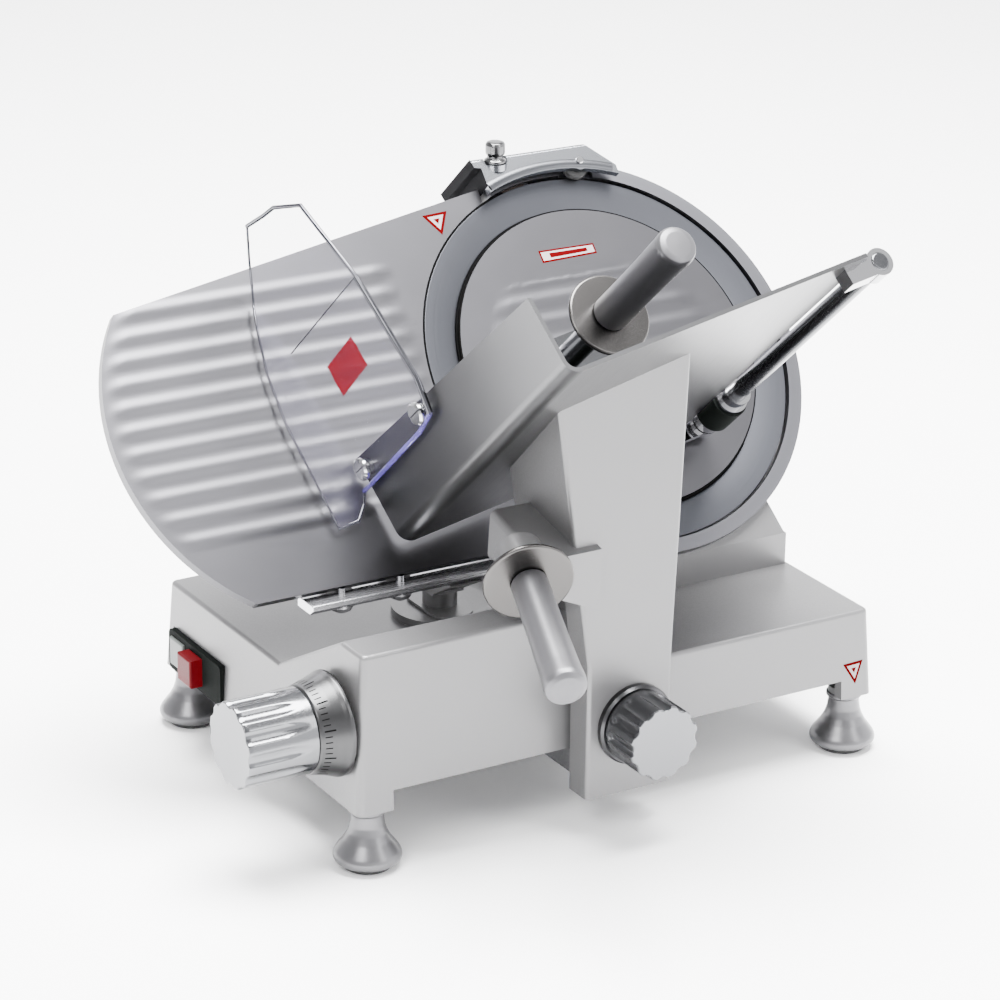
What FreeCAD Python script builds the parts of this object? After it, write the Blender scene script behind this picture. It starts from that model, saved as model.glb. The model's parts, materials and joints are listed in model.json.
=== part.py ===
import FreeCAD, Part
import math
import os
import re

import Sketcher

# A gravity-feed deli meat slicer with a 300 mm blade.
# X runs along the carriage travel, Y away from the operator, Z up, in millimetres.
# Most pieces are drawn in one of three frames: the base's front-left deck corner,
# the tilted blade, and the meat tray, which is the blade frame turned a little more.

doc = FreeCAD.newDocument("MeatSlicer")

# ---------------------------------------------------------------- driving dimensions

DIMENSIONS = {
    # where the base's front-left deck corner lies from the middle of the footprint
    "origin_x": 201.85,
    "origin_y": 105.643,
    # base casting
    "base_width": 428.0,
    "base_depth": 300.0,
    "deck_height": 113.0,
    "skirt_height": 60.0,
    "leg_height": 45.0,
    "leg_width": 24.0,
    "base_draft": 3.2,
    "base_wall": 5.0,
    "ridge_length": 161.0,
    "ridge_height": 162.3,
    "ridge_top_depth": 34.0,
    "ridge_depth": 123.0,
    "foot_inset": 11.0,
    "switch_y": 248.0,
    "switch_z": 63.0,
    "switch_seat": 1.2,
    # blade frame: centre of the cutting circle and tilt of its plane from upright
    "blade_x": 326.6,
    "blade_y": 207.5,
    "blade_z": 264.1,
    "blade_tilt": 41.5,
    "blade_radius": 150.0,
    "blade_bore": 26.0,
    "cover_radius": 123.4,
    "ring_inner": 151.8,
    "ring_outer": 162.5,
    "ring_front": 2.5,
    "hood_front": 14.0,
    "hood_back": -45.0,
    # blade drive
    "housing_front": -5.0,
    "bulkhead_front": -34.0,
    "bulkhead_back": -42.0,
    "post_radius": 12.0,
    "bearing_radius": 20.0,
    "hub_pulley_radius": 60.0,
    "motor_pulley_radius": 14.0,
    "motor_u": 30.0,
    "motor_v": -98.0,
    "motor_radius": 50.0,
    "motor_length": 74.0,
    "motor_shaft_radius": 7.0,
    "belt_thickness": 3.0,
    "running_gap": 0.05,
    "touch_gap": 0.3,
    # gauge plate
    "gauge_bottom": -134.0,
    "gauge_round_x": -245.0,
    "gauge_round_radius": 167.0,
    "gauge_thickness": 8.0,
    "gauge_gap": 1.5,
    "gauge_post_x": 147.0,
    "gauge_post_y": 149.0,
    "gauge_post_radius": 13.0,
    "gauge_travel": 15.0,
    "guide_shaft_x": 92.0,
    "guide_shaft_z": 101.0,
    "guide_shaft_radius": 5.0,
    # thickness knob
    "knob_y": 35.6,
    "knob_z": 102.2,
    "knob_radius": 31.0,
    "knob_reach": 80.0,
    "knob_seat": 2.8,
    "cam_x": 40.0,
    "cam_radius": 28.3,
    "cam_start": 9.5,
    # carriage
    "arm_left": 165.0,
    "arm_right": 235.0,
    "arm_front": -30.0,
    "arm_back": -7.0,
    "arm_bottom": 30.0,
    "shaft_y": 90.0,
    "shaft_z": 80.0,
    "shaft_radius": 8.0,
    "tray_tilt": 10.0,
    "tray_left": -241.0,
    "tray_right": 21.0,
    "tray_floor": -75.0,
    "tray_sheet": 3.0,
    "tray_near": 307.0,
    "tray_far": 9.0,
    "wall_top_far": -3.0,
    "wall_top_near": -16.0,
    "rod_x": 36.0,
    "rod_y": -79.0,
    "rod_radius": 7.0,
    "lock_x": 203.5,
    "lock_z": 82.3,
    "lock_radius": 27.5,
    "handle_x": 108.0,
    "handle_y": -40.0,
    "handle_z": 215.0,
    "handle_turn": 17.0,
    "handle_droop": 17.6,
    "handle_length": 116.0,
    "hand_disc_radius": 32.0,
    # pusher
    "pusher_x": -54.5,
    "pusher_y": 3.0,
    "pusher_disc_z": 105.0,
    "pusher_length": 121.0,
}

sheet = doc.addObject("Spreadsheet::Sheet", "Dims")
for row, (alias, value) in enumerate(DIMENSIONS.items(), start=1):
    sheet.set(f"A{row}", alias)
    sheet.set(f"B{row}", str(value))
    sheet.setAlias(f"B{row}", alias)
doc.recompute()


def formula(value):
    """The FreeCAD expression for a number or for a text that names dimensions."""
    return re.sub(r"[a-z][a-z_0-9]*", lambda word: "Dims." + word[0] if word[0] in DIMENSIONS else word[0],
                  str(value))


# ---------------------------------------------------------------- frames

BASE_CORNER = "vector(-origin_x; -origin_y; 0)"
BLADE_CENTRE = "vector(blade_x - origin_x; blade_y - origin_y; blade_z)"
LEAN = "rotation(vector(1;0;0); 90 - blade_tilt)"
TRAY_TURN = "rotation(vector(0;0;1); tray_tilt)"
TO_LEFT = "rotation(vector(0;1;0); -90)"
TO_RIGHT = "rotation(vector(0;1;0); 90)"
TO_FRONT = "rotation(vector(1;0;0); 90)"
TO_BACK = "rotation(vector(1;0;0); -90)"
UPRIGHT = "rotation(vector(0;0;1); 0)"

BASE = f"placement({BASE_CORNER}; {UPRIGHT})"
BLADE = f"placement({BLADE_CENTRE}; {LEAN})"
TRAY = f"placement({BLADE_CENTRE}; {LEAN} * {TRAY_TURN})"


def base_frame(x, y, z, turn=UPRIGHT):
    """A frame at a point measured from the base corner, turned from upright."""
    return f"placement(vector({x} - origin_x; {y} - origin_y; {z}); {turn})"


def tray_frame(x, y, turn=UPRIGHT, z=0):
    """A frame at a point of the tray frame."""
    return f"{TRAY} * placement(vector({x}; {y}; {z}); {turn})"


def blade_frame(u, v, n=0, turn=UPRIGHT):
    """A frame at a point of the blade frame."""
    return f"{BLADE} * placement(vector({u}; {v}; {n}); {turn})"


def in_blade(y, z):
    """The (v, n) of a point given by its y and z from the base corner, in the blade frame."""
    back = f"(({y}) - blade_y)"
    rise = f"(({z}) - blade_z)"
    return (f"{back} * sin(blade_tilt) + {rise} * cos(blade_tilt)",
            f"{rise} * sin(blade_tilt) - {back} * cos(blade_tilt)")


HANDLE = base_frame("handle_x", "handle_y", "handle_z",
                    "rotation(vector(0;0;1); -handle_turn) * rotation(vector(1;0;0); 90 + handle_droop)")

# ---------------------------------------------------------------- drawing helpers


def new_body(label, frame=BASE):
    """A PartDesign body named after its sub-part, placed in a frame."""
    body = doc.addObject("PartDesign::Body", "Body_" + label)
    body.Label = label
    body.setExpression("Placement", formula(frame))
    return body


def new_sketch(body, plane="XY", level=0):
    """A sketch on one of the body's origin planes, moved along the plane's normal by level."""
    sketch = body.newObject("Sketcher::SketchObject", body.Name + "_sketch")
    support = [item for item in body.Origin.OriginFeatures if item.Role == plane + "_Plane"][0]
    sketch.AttachmentSupport = (support, [""])
    sketch.MapMode = "FlatFace"
    sketch.setExpression("AttachmentOffset.Base.z", formula(level))
    return sketch


def place_point(sketch, element, point, x, y):
    """Fix a point of a sketch element at x, y from the sketch's origin."""
    for kind, value in (("DistanceX", x), ("DistanceY", y)):
        index = sketch.addConstraint(Sketcher.Constraint(kind, -1, 1, element, point, 1.0))
        sketch.setExpression(f"Constraints[{index}]", formula(value))


def draw_outline(sketch, corners):
    """A closed outline of straight lines through the corners."""
    first = sketch.GeometryCount
    count = len(corners)
    for step in range(count):
        start = FreeCAD.Vector(step, step * step, 0)
        end = FreeCAD.Vector((step + 1) % count, ((step + 1) % count) ** 2, 0)
        sketch.addGeometry(Part.LineSegment(start, end))
    for step in range(count):
        following = first + (step + 1) % count
        sketch.addConstraint(Sketcher.Constraint("Coincident", first + step, 2, following, 1))
    for step, (x, y) in enumerate(corners):
        place_point(sketch, first + step, 1, x, y)


def draw_circle(sketch, x, y, radius):
    """A full circle."""
    index = sketch.addGeometry(Part.Circle(FreeCAD.Vector(1, 1, 0), FreeCAD.Vector(0, 0, 1), 5.0))
    place_point(sketch, index, 3, x, y)
    size = sketch.addConstraint(Sketcher.Constraint("Radius", index, 5.0))
    sketch.setExpression(f"Constraints[{size}]", formula(radius))


def box_corners(x0, y0, x1, y1):
    """The corners of an upright rectangle."""
    return [(x0, y0), (x1, y0), (x1, y1), (x0, y1)]


def extrude(body, sketch, length, kind="Pad", taper=0, both=False, backwards=False):
    """Pad or pocket a sketch by a length."""
    feature = body.newObject("PartDesign::" + kind, body.Name + "_" + kind.lower())
    feature.Profile = sketch
    feature.setExpression("Length", formula(length))
    if taper:
        feature.setExpression("TaperAngle", formula(taper))
    feature.Midplane = both
    feature.Reversed = backwards
    return feature


def pad(body, corners, length, plane="XY", level=0, both=False, taper=0):
    """Add a block with a polygon outline."""
    sketch = new_sketch(body, plane, level)
    draw_outline(sketch, corners)
    return extrude(body, sketch, length, "Pad", taper, both)


def cut(body, corners, length, plane="XY", level=0, both=False, forwards=False):
    """Remove a block with a polygon outline; it is cut against the plane's normal unless forwards."""
    sketch = new_sketch(body, plane, level)
    draw_outline(sketch, corners)
    return extrude(body, sketch, length, "Pocket", 0, both, forwards)


def pad_round(body, x, y, radius, length, plane="XY", level=0, both=False, taper=0):
    """Add a cylinder."""
    sketch = new_sketch(body, plane, level)
    draw_circle(sketch, x, y, radius)
    return extrude(body, sketch, length, "Pad", taper, both)


def cut_round(body, x, y, radius, length, plane="XY", level=0, both=False, forwards=False):
    """Drill or bore a cylinder."""
    sketch = new_sketch(body, plane, level)
    draw_circle(sketch, x, y, radius)
    return extrude(body, sketch, length, "Pocket", 0, both, forwards)


def turn_profile(body, profile, kind="Revolution"):
    """Turn a profile of (radius, height) points round the body's own Z axis."""
    sketch = new_sketch(body, "XZ")
    draw_outline(sketch, profile)
    feature = body.newObject("PartDesign::" + kind, body.Name + "_turned")
    feature.Profile = sketch
    feature.ReferenceAxis = (sketch, ["V_Axis"])
    feature.Angle = 360
    return feature


def turned(label, frame, profile):
    """A turned piece with its axis along the frame's Z."""
    body = new_body(label, frame)
    turn_profile(body, profile)
    return body


def repeat_round(body, feature, count):
    """Repeat a feature round the body's Z axis."""
    pattern = body.newObject("PartDesign::PolarPattern", body.Name + "_round")
    axis = [item for item in body.Origin.OriginFeatures if item.Role == "Z_Axis"][0]
    pattern.Originals = [feature]
    pattern.Axis = (axis, [""])
    pattern.Angle = 360
    pattern.Occurrences = count
    body.Tip = pattern
    return pattern


def soften(body, wanted, radius, kind="Fillet"):
    """Round or bevel the edges of the body that the test accepts, in the body's own frame."""
    doc.recompute()
    base = body.Tip
    names = [f"Edge{number}" for number, edge in enumerate(base.Shape.Edges, start=1)
             if wanted(edge, edge.BoundBox)]
    feature = body.newObject("PartDesign::" + kind, body.Name + "_" + kind.lower())
    feature.Base = (base, names)
    if kind == "Fillet":
        feature.setExpression("Radius", formula(radius))
    else:
        feature.setExpression("Size", formula(radius))
    return feature


def group(label, pieces):
    """Identical small pieces kept as separate solids in one node."""
    joined = doc.addObject("Part::Compound", "Group_" + label)
    joined.Links = pieces
    joined.Label = label
    return joined


def joined(label, pieces):
    """One casting fused from several bodies."""
    fused = doc.addObject("Part::MultiFuse", "Fused_" + label)
    fused.Shapes = pieces
    fused.Refine = True
    fused.Label = label
    return fused


def removed(label, base, tool):
    """A body with another shape cut away."""
    result = doc.addObject("Part::Cut", "Cut_" + label)
    result.Base = base
    result.Tool = tool
    result.Label = label
    return result


parts = []


def keep(*pieces):
    """Record finished sub-parts for export."""
    parts.extend(pieces)


# ---------------------------------------------------------------- base

FAR = 700


def upright_edge(edge, box):
    return box.ZLength > 20 and box.XLength < 12 and box.YLength < 12


def base_housing():
    """Drafted cast box with four corner legs, a raised ridge at the front left and open below."""
    body = new_body("base_housing")
    spread = "tan(base_draft) * (deck_height - leg_height)"
    footprint = box_corners(f"-({spread})", f"-({spread})", f"base_width + {spread}",
                            f"base_depth + {spread}")
    pad(body, footprint, "ridge_height - leg_height", level="leg_height", taper="-base_draft")
    soften(body, upright_edge, 5)
    # take away everything above the deck except the ridge
    behind = [("ridge_top_depth", "ridge_height + 0"), ("ridge_depth", "deck_height"), (FAR, "deck_height"),
              (FAR, FAR), ("ridge_top_depth", FAR)]
    cut(body, behind, 2 * FAR, plane="YZ", both=True)
    cut(body, box_corners("ridge_length", "deck_height", FAR, FAR), FAR, plane="XZ", both=True)
    # arches between the legs in the front and rear walls
    cut(body, box_corners("leg_width", 0, "base_width - leg_width", "skirt_height"), 2 * FAR, plane="XZ",
        both=True)
    soften(body, lambda edge, box: box.ZMin > 112.9 and box.XLength + box.YLength > 15
           and not (box.ZMax < 113.1 and box.YMax < 140 and box.YMin > 60), 3)
    # hollow the casting from below, then the ridge
    inner = box_corners("base_wall", "base_wall", "base_width - base_wall", "base_depth - base_wall")
    cut(body, inner, "deck_height - base_wall - leg_height + 5", level="leg_height - 5", forwards=True)
    ridge = [("base_wall + 1.5", 100), ("base_wall + 1.5", "ridge_height - base_wall"),
             ("ridge_top_depth - 2", "ridge_height - base_wall"),
             ("ridge_depth - 8", "deck_height - base_wall + 1"),
             ("ridge_depth - 8", 100)]
    cut(body, ridge, "ridge_length - 2 * base_wall - 3", plane="YZ", level="base_wall + 3", forwards=True)
    base_openings(body)
    base_lugs(body)
    return body


def base_openings(body):
    """Holes in the casting: thickness knob, switch, gauge post slot, motor, housing bolts, cable gland."""
    cut_round(body, "knob_y", "knob_z", 9, 40, plane="YZ", both=True)
    cut(body, box_corners("switch_y - 43.2", "switch_z - 16.2", "switch_y + 43.2", "switch_z + 16.2"), 12,
        plane="YZ", level="-switch_seat")
    cut(body, box_corners("switch_y - 40.5", "switch_z - 13", "switch_y + 40.5", "switch_z + 13"), 40,
        plane="YZ", both=True)
    slot = "gauge_post_radius + 2"
    left = f"gauge_post_x - ({slot})"
    right = f"gauge_post_x + {slot}"
    pad_round(body, "gauge_post_x + 3", "gauge_post_y + gauge_travel / 2 - 6", 38, 6,
              level="deck_height - 0.5")
    cut(body, box_corners(left, "gauge_post_y", right, "gauge_post_y + gauge_travel"), 30, level=125)
    cut_round(body, "gauge_post_x", "gauge_post_y", slot, 30, level=125)
    cut_round(body, "gauge_post_x", "gauge_post_y + gauge_travel", slot, 30, level=125)
    cut(body, box_corners("blade_x + motor_u - 61", 142, "blade_x + motor_u + 61", 250), 30, level=120)
    cut_round(body, 60, 80, 9, 20, plane="XZ", level="-base_depth", both=True)


def base_lugs(body):
    """Lugs cast inside the box that hold the two guide shafts, and the strip the roller runs under."""
    for start in (4, "base_width - 22"):
        pad(body, box_corners("shaft_y - 13", "shaft_z - 14", "shaft_y + 13", "deck_height - 3"), 18,
            plane="YZ", level=start)
    cut_round(body, "shaft_y", "shaft_z", "shaft_radius", "base_width - 16", plane="YZ", level=8,
              forwards=True)
    guide = box_corners("guide_shaft_x - 9", "guide_shaft_z - 9", "guide_shaft_x + 9", "deck_height - 3")
    pad(body, guide, 10, plane="XZ", level=-14)
    pad(body, guide, 12, plane="XZ", level=-214)
    cut_round(body, "guide_shaft_x", "guide_shaft_z", "guide_shaft_radius", 208, plane="XZ", level=-224,
              forwards=True)
    strip_low = "shaft_z + 11.5"
    pad(body, box_corners(20, 112, "base_width - 20", 122), 3, level=strip_low)
    for end in (4, "base_width - 20"):
        pad(body, box_corners(112, strip_low, 122, "deck_height - 3"), 16, plane="YZ", level=end)


def bottom_cover():
    """Sheet cover under the rear of the base, with louvre slots for cooling air."""
    body = new_body("bottom_cover")
    pad(body, box_corners("leg_width + 2", 128, "base_width - leg_width - 2", "base_depth + 1"), 2,
        level="skirt_height - 2")
    for number in range(9):
        y = 150 + number * 12
        cut(body, box_corners(250, y, 370, y + 5), 20, level=70)
    return body


def foot_places():
    near = "foot_inset"
    return [(x, y) for x in (near, "base_width - " + near) for y in (near, "base_depth - " + near)]


def feet():
    """Four turned bell-shaped feet screwed into the corner legs."""
    profile = [(0, 4), (20, 4), (24, 7), (24.5, 11), (21, 16), (14, 27), (11.5, 36), (11.5, "leg_height"),
               (5, "leg_height"), (5, "leg_height + 5"), (0, "leg_height + 5")]
    pieces = [turned(f"foot_{number}", base_frame(x, y, 0), profile)
              for number, (x, y) in enumerate(foot_places())]
    return group("feet", pieces)


def foot_pads():
    """Rubber discs pressed into the feet, standing on the worktop."""
    profile = [(0, 0), (17, 0), (18.5, 1.5), (18.5, 4), (0, 4)]
    pieces = [turned(f"pad_{number}", base_frame(x, y, 0), profile)
              for number, (x, y) in enumerate(foot_places())]
    return group("foot_pads", pieces)


def leg_bosses(body):
    """Solid bosses in the legs for the foot screws."""
    for x, y in foot_places():
        pad_round(body, x, y, 12, 5, level="leg_height")
        cut_round(body, x, y, 5, 14, level="leg_height - 1", forwards=True)


SWITCH = base_frame("-switch_seat", "switch_y", "switch_z", TO_LEFT + " * rotation(vector(0;0;1); -90)")
BUTTON_HALF = 11


def switch_box():
    """Black moulded switch housing set in the left wall, with openings for the two buttons."""
    body = new_body("switch_box", SWITCH)
    pad(body, box_corners(-43, -16, 43, 16), 5)
    soften(body, lambda edge, box: box.ZLength > 4, 4)
    pad(body, box_corners(-40, -12.5, 40, 12.5), 21, level=-21)
    opening = BUTTON_HALF + 0.3
    for middle in (-27, 2):
        cut(body, box_corners(middle - opening, -opening, middle + opening, opening), 24, level=5)
    return body


def push_button(label, middle, face):
    """One square push button; its face stands proud of the switch housing by face."""
    body = new_body(label, SWITCH)
    corners = box_corners(middle - BUTTON_HALF, -BUTTON_HALF, middle + BUTTON_HALF, BUTTON_HALF)
    pad(body, corners, face + 15, level=-10)
    soften(body, lambda edge, box: box.ZMin > -9, 1.5)
    return body


def mains_gland():
    """Cable gland in the rear wall; the cord itself isn't part of the model."""
    profile = [(4.5, -12), (8.8, -12), (8.8, 3), (13, 3), (13, 7), (11, 10), (9, 22), (4.5, 22)]
    return turned("mains_gland", base_frame(60, "base_depth", 80, TO_BACK), profile)


def capacitor():
    """Motor run capacitor clipped under the deck."""
    profile = [(0, 0), (15, 0), (16, 1), (16, 62), (15, 63), (0, 63)]
    return turned("capacitor", base_frame(180, 250, 86, TO_RIGHT), profile)


# ---------------------------------------------------------------- blade, its housing and drive


def blade_housing():
    """Casting behind the blade: pulley chamber, neck, foot block and motor cover."""
    body = new_body("blade_housing", BLADE)
    deep = "housing_front - bulkhead_back"
    pad_round(body, 0, 0, 138, deep, level="bulkhead_back")
    neck = [(-60, -115), (-76, -150), (-98, -172), (-98, -290), (97, -290), (97, -172), (90, -130),
            (70, -100)]
    pad(body, neck, deep, level="bulkhead_back")
    rim = blade_housing_rim()
    foot = [in_blade(102.9, "deck_height"), in_blade(102.9, 138.4), in_blade(150, 138.4),
            in_blade(258, 138.4),
            in_blade(270, 128), in_blade(270, "deck_height")]
    pad(body, foot, 195, plane="YZ", level=-98)
    motor_cover = "motor_radius + 11"
    pad_round(body, "motor_u", "motor_v", motor_cover, 86, level="bulkhead_back - 86")
    pad(body, box_corners(f"motor_u - ({motor_cover})", -290, f"motor_u + {motor_cover}", "motor_v"), 86,
        level="bulkhead_back - 86")
    # trim along the deck
    below = [in_blade(-FAR, "deck_height"), in_blade(FAR, "deck_height"), in_blade(FAR, -FAR),
             in_blade(-FAR, -FAR)]
    cut(body, below, 2 * FAR, plane="YZ", both=True)
    front = [in_blade(102.9, -FAR), in_blade(102.9, 138.4), in_blade(-FAR, 138.4), in_blade(-FAR, -FAR)]
    cut(body, front, 2 * FAR, plane="YZ", both=True)
    # recess for the blade, then chambers for the pulleys and for the motor
    cut_round(body, 0, 0, "ring_inner - 0.3", 24, level=10)
    cut_round(body, 0, 0, 131, "housing_front - bulkhead_front + 5", level="housing_front + 5")
    clear = "motor_radius + 4"
    cut_round(body, "motor_u", "motor_v", clear, 80, level="bulkhead_back - 1")
    cut(body, box_corners(f"motor_u - ({clear})", -290, f"motor_u + {clear}", "motor_v"), 80,
        level="bulkhead_back - 1")
    # hole for the motor shaft and for the blade post
    cut_round(body, "motor_u", "motor_v", 10, 20, level="bulkhead_front + 2")
    cut_round(body, 0, 0, "post_radius", 20, level="bulkhead_front + 2")
    body.Label = "blade_housing_core"
    hollow = new_body("housing_hollow")
    pad(hollow, box_corners("blade_x - 92", 109, "blade_x - 32", 262), 24, level="deck_height - 5")
    soften(hollow, upright_edge, 4)
    return removed("blade_housing", joined("housing_whole", [body, rim]), hollow)


def blade_housing_rim():
    """The part of the casting under the ring guard, open on the gauge plate's side."""
    body = new_body("blade_housing_rim", BLADE)
    pad_round(body, 0, 0, "ring_outer - 4", "housing_front - bulkhead_back", level="bulkhead_back")
    cut_round(body, 0, 0, 136, 80, level=10)
    cut_round(body, 0, 0, "ring_inner - 0.3", 24, level=10)
    open_side(body)
    # notch for the sharpener's stones, and a slot for the grinding stone's shaft
    cut(body, box_corners(-40, 130, 46, 200), 40, level=18.5)
    cut(body, box_corners(-29, 150, -19, 200), 80, level=10)
    return body


def open_side(body):
    """Cut the arc away where the gauge plate comes up to the blade."""
    wedge = [(0, 0), (-50, 138), (-60, 300), (-400, 300), (-400, -300), (-100, -300), (-60, -130)]
    cut(body, wedge, 2 * FAR, both=True)


def ring_guard():
    """Polished ring round the blade's edge, open where the slice comes off."""
    body = new_body("ring_guard", BLADE)
    depth = "ring_front - housing_front"
    pad_round(body, 0, 0, "ring_outer", depth, level="housing_front")
    cut_round(body, 0, 0, "ring_inner", 80, level=10)
    open_side(body)
    # room for the grinding stone behind the ring and for the truing stone in front of it
    cut(body, box_corners(-38, 130, -10, 200), 20, level=-1.5)
    cut(body, box_corners(14, 130, 42, 200), 20, level=-1, forwards=True)
    return body


def blade():
    """Hollow-ground circular blade with a bevel on its back."""
    profile = [("blade_bore", -12), (118, -9), (134, -7), ("blade_radius", -0.7), ("blade_radius", 0),
               ("cover_radius + 1.5", -2.2), ("cover_radius - 3", -5.6), ("blade_bore", -9)]
    body = turned("blade", BLADE, profile)
    hole = cut_round(body, 35, 0, 3.1, 30, level=5)
    repeat_round(body, hole, 3)
    return body


def hub_pulley():
    """Blade hub with the grooved belt pulley, running on two bearings."""
    rim = "hub_pulley_radius"
    profile = [("bearing_radius", -32), (26, -32), (26, -26), (f"{rim} - 6", -26), (f"{rim} - 6", -32),
               (rim, -32), (rim, -16), (f"{rim} - 6", -16), (f"{rim} - 6", -22), (30, -22), (44, -15.5),
               (44, -12),
               ("blade_bore - running_gap", -12), ("blade_bore - running_gap", -9.8), (17, -9.8), (17, -12),
               ("bearing_radius", -12)]
    body = turned("hub_pulley", BLADE, profile)
    hole = cut_round(body, 35, 0, 3, 30, level=-10)
    repeat_round(body, hole, 3)
    return body


def blade_screws():
    """Three countersunk screws that hold the blade on its hub."""
    pieces = []
    for number in range(3):
        turn = f"rotation(vector(0;0;1); {number * 120})"
        frame = f"{BLADE} * placement(vector(0;0;0); {turn}) * placement(vector(35;0;-22); {UPRIGHT})"
        pieces.append(turned(f"blade_screw_{number}", frame, [(0, 0), (3, 0), (3, 13.8), (6, 13.8),
                                                              (6, 15.4), (0, 15.4)]))
    return group("blade_screws", pieces)


def spindle_post():
    """Fixed hollow post that carries the bearings and lets the cover's tie rod through."""
    profile = [(5, -44), (24, -44), (24, "bulkhead_back"), ("post_radius", "bulkhead_back"),
               ("post_radius", -9.3),
               (5, -9.3)]
    return turned("spindle_post", BLADE, profile)


def spindle_bearings():
    """Two ball bearings between the post and the hub."""
    pieces = []
    for number, low in enumerate((-31.5, -20.5)):
        profile = [("post_radius + running_gap", low), ("bearing_radius - running_gap", low),
                   ("bearing_radius - running_gap", low + 8), ("post_radius + running_gap", low + 8)]
        pieces.append(turned(f"bearing_{number}", BLADE, profile))
    return group("spindle_bearings", pieces)


def blade_cover():
    """Dished plate over the middle of the blade; it stays still while the blade turns."""
    profile = [(4.1, -9.3), (9, -9.3), (9, 0.2), (112, 0), (119, -1.6), (119, -3),
               ("cover_radius - 0.6", -3),
               ("cover_radius - 0.6", -1), ("cover_radius - 4", 1.6), (100, 3), (0, 3.4), (0, -2.5),
               (4.1, -2.5)]
    return turned("blade_cover", BLADE, profile)


def cover_tie_rod():
    """Long screw through the post with a knob behind the housing, which holds the blade cover."""
    profile = [(0, -3), (4, -3), (4, -47), (9, -47), (9, -50), (16, -51), (16, -63), (13, -66), (0, -66)]
    return turned("cover_tie_rod", BLADE, profile)


def motor_body():
    """Induction motor, parallel to the blade's axis and hung from the housing's bulkhead."""
    low = "bulkhead_back - 2 - motor_length"
    profile = [(8, "bulkhead_back - 2"), ("motor_radius - 10", "bulkhead_back - 2"),
               ("motor_radius", "bulkhead_back - 8"),
               ("motor_radius", f"{low} + 8"), ("motor_radius - 8", low), (8, low)]
    return turned("motor_body", blade_frame("motor_u", "motor_v"), profile)


def motor_shaft():
    radius = "motor_shaft_radius"
    profile = [(0, "bulkhead_back - 4 - motor_length"), (radius, "bulkhead_back - 4 - motor_length"),
               (radius, -14), (0, -14)]
    return turned("motor_shaft", blade_frame("motor_u", "motor_v"), profile)


def motor_pulley():
    """Small grooved pulley keyed to the motor shaft."""
    rim = "motor_pulley_radius"
    profile = [("motor_shaft_radius", -32), (f"{rim} + 2", -32), (f"{rim} + 2", -31), (rim, -30.5),
               (rim, -17.5),
               (f"{rim} + 2", -17), (f"{rim} + 2", -16), ("motor_shaft_radius", -16)]
    return turned("motor_pulley", blade_frame("motor_u", "motor_v"), profile)


def belt_loop(body, grow, kind):
    """One belt outline: two arcs joined by their common tangents."""
    big = f"(hub_pulley_radius + {grow})"
    small = f"(motor_pulley_radius + {grow})"
    centres = "sqrt(motor_u * motor_u + motor_v * motor_v)"
    sine = f"((hub_pulley_radius - motor_pulley_radius) / {centres})"
    cosine = f"sqrt(1 - {sine} * {sine})"
    quad = [(f"{big} * {sine}", f"{big} * {cosine}"), (f"{big} * {sine}", f"-({big} * {cosine})"),
            (f"{centres} + {small} * {sine}", f"-({small} * {cosine})"),
            (f"{centres} + {small} * {sine}", f"{small} * {cosine}")]
    if kind == "Pad":
        pad_round(body, 0, 0, big, 12, level=-30)
        pad_round(body, centres, 0, small, 12, level=-30)
        pad(body, quad, 12, level=-30)
    else:
        cut_round(body, 0, 0, big, 20, level=-15)
        cut_round(body, centres, 0, small, 20, level=-15)
        cut(body, quad, 20, level=-15)


def drive_belt():
    """Ribbed belt from the motor pulley to the hub pulley."""
    turn = "rotation(vector(0;0;1); atan2(motor_v; motor_u))"
    body = new_body("drive_belt", f"{BLADE} * placement(vector(0;0;0); {turn})")
    belt_loop(body, "touch_gap + belt_thickness", "Pad")
    belt_loop(body, "touch_gap", "Pocket")
    return body


# ---------------------------------------------------------------- sharpener


def sharpener_bracket():
    """Post on top of the housing that the sharpener slides up on."""
    body = new_body("sharpener_bracket", BLADE)
    pad(body, box_corners(-15, 150, 20, 166), 18, level=-42)
    pad_round(body, 3, -32, 6, 18, plane="XZ", level=-176)
    cut_round(body, 0, 0, "ring_outer - 4", 80, level=10)
    return body


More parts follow.
